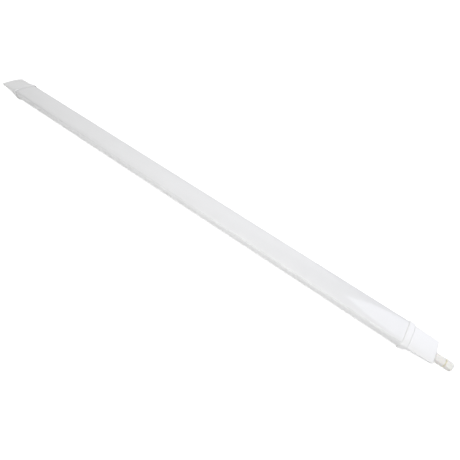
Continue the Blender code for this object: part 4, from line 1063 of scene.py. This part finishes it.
# Uncoated paper from a wide roll. It is matt, so it takes a soft shadow and mirrors nothing.
paper = bpy.data.materials.new("matt_white_floor_paper")
paper.use_nodes = True
tree = paper.node_tree
matt = tree.nodes["Principled BSDF"]
matt.inputs["Base Color"].default_value = linear(FLOOR_COLOUR)
matt.inputs["Roughness"].default_value = FLOOR_ROUGHNESS
matt.inputs["Specular IOR Level"].default_value = 0.0
matt.inputs["Emission Color"].default_value = linear("#FFFFFF")
place = add(tree, "ShaderNodeTexCoord").outputs["Object"]
reach_scale = tuple(1 / reach for reach in PAINTED_SHADE_REACH)
shrunk = add(tree, "ShaderNodeMapping", {"Scale": reach_scale}, {"Vector": place})
# Painted shade: an oval patch of weaker glow round the light, darkest at its middle.
painted_shade_patch = add(
    tree, "ShaderNodeTexGradient", {"gradient_type": "QUADRATIC_SPHERE"},
    {"Vector": shrunk.outputs["Vector"]},
)
level = add(
    tree, "ShaderNodeMapRange", {"To Min": GLOW_FAR, "To Max": GLOW_IN_PAINTED_SHADE}, {"Value": painted_shade_patch.outputs["Fac"]},
)
glow = add(
    tree, "ShaderNodeMath", {"operation": "MULTIPLY"}, {0: seen_directly(tree), 1: level.outputs["Result"]},
)
tree.links.new(glow.outputs["Value"], matt.inputs["Emission Strength"])
# The glow lights nothing, so no samples are spent on it as on a lamp, which leaves less grain.
paper.cycles.emission_sampling = "NONE"
floor_mesh.materials.append(paper)
print("floor at", round(floor_height / MM, 2), "mm")

# %% [markdown]
# The world is white to the same rays and a dim grey to those that carry light about. A bright world would
# be simpler, but it lights the object from all sides and flattens it, so the lamps are left to shape it.
# The view transform is Standard, which shows a colour about as it is written.

# %% World
SKY_LEVEL = 0.10
WHITE = 1.0
world = bpy.data.worlds.new("studio")
bpy.context.scene.world = world
world.use_nodes = True
tree = world.node_tree
sky = tree.nodes["Background"]
sky.inputs["Color"].default_value = linear("#FFFFFF")
level = add(
    tree, "ShaderNodeMapRange", {"To Min": SKY_LEVEL, "To Max": WHITE}, {"Value": seen_directly(tree)},
)
tree.links.new(level.outputs["Result"], sky.inputs["Strength"])
# An even world needs no lamp samples either.
world.cycles.sampling_method = "NONE"
bpy.context.scene.view_settings.view_transform = "Standard"
print("the world lights the object at", SKY_LEVEL, "of white")

# %% [markdown]
# Soft rectangular lamps light the object. Small ones would be simpler, but they leave hard shadows and
# points of glare on gloss. Two hang over it on the camera's side, where the cover can't mirror them to the
# camera. A low one lights the hull, and one past the cable end lights the gland. A long one behind gives
# the cover's upper half a faint sheen from end to end. A tilted and slightly bluish one stands behind the
# cable end: two of its edges are mirrored in the cover as the straight sides of a bright wedge that opens
# to the collar.

# %% Lamps


def panel(name, place, target, size, power, colour="#FFFFFF"):
    """A rectangular lamp at a place, turned to face a target point. Lengths in metres, power in watts."""
    data = bpy.data.lights.new(name, "AREA")
    data.shape = "RECTANGLE"
    data.size, data.size_y = size
    data.energy = power
    data.color = linear(colour)[:3]
    lamp = bpy.data.objects.new(name, data)
    lamp.location = place
    lamp.rotation_euler = (Vector(target) - Vector(place)).to_track_quat("-Z", "Y").to_euler()
    lamp.visible_camera = False
    bpy.context.scene.collection.objects.link(lamp)
    print(name, "gives", power, "W")
    return lamp


panel(
    "over_the_middle",
    place=(0.15, -0.5, 1.3), target=(0.15, 0.0, 0.0), size=(1.4, 0.8), power=8.6,
)
panel(
    "over_the_near_half",
    place=(0.2, -0.45, 0.9), target=(0.2, 0.0, 0.0), size=(0.9, 0.5), power=3.0,
)
panel(
    "low_on_the_camera_side",
    place=(0.15, -1.1, 0.28), target=(0.15, 0.0, 0.0), size=(1.2, 0.4), power=2.2,
)
panel(
    "past_the_cable_end",
    place=(1.6, -0.1, 1.0), target=(0.5, 0.0, 0.0), size=(0.8, 0.8), power=2.6,
)
panel(
    "behind",
    place=(-1.72, 1.64, 1.2), target=(-0.72, -0.36, 0.0), size=(4.4, 1.6), power=12.0,
)
panel(
    "tilted_behind_the_cable_end",
    place=(0.765, 0.661, 0.597), target=(0.032, 0.338, 0.187), size=(0.601, 0.914), power=3.0,
    colour="#EEF1FF",
)

# %% [markdown]
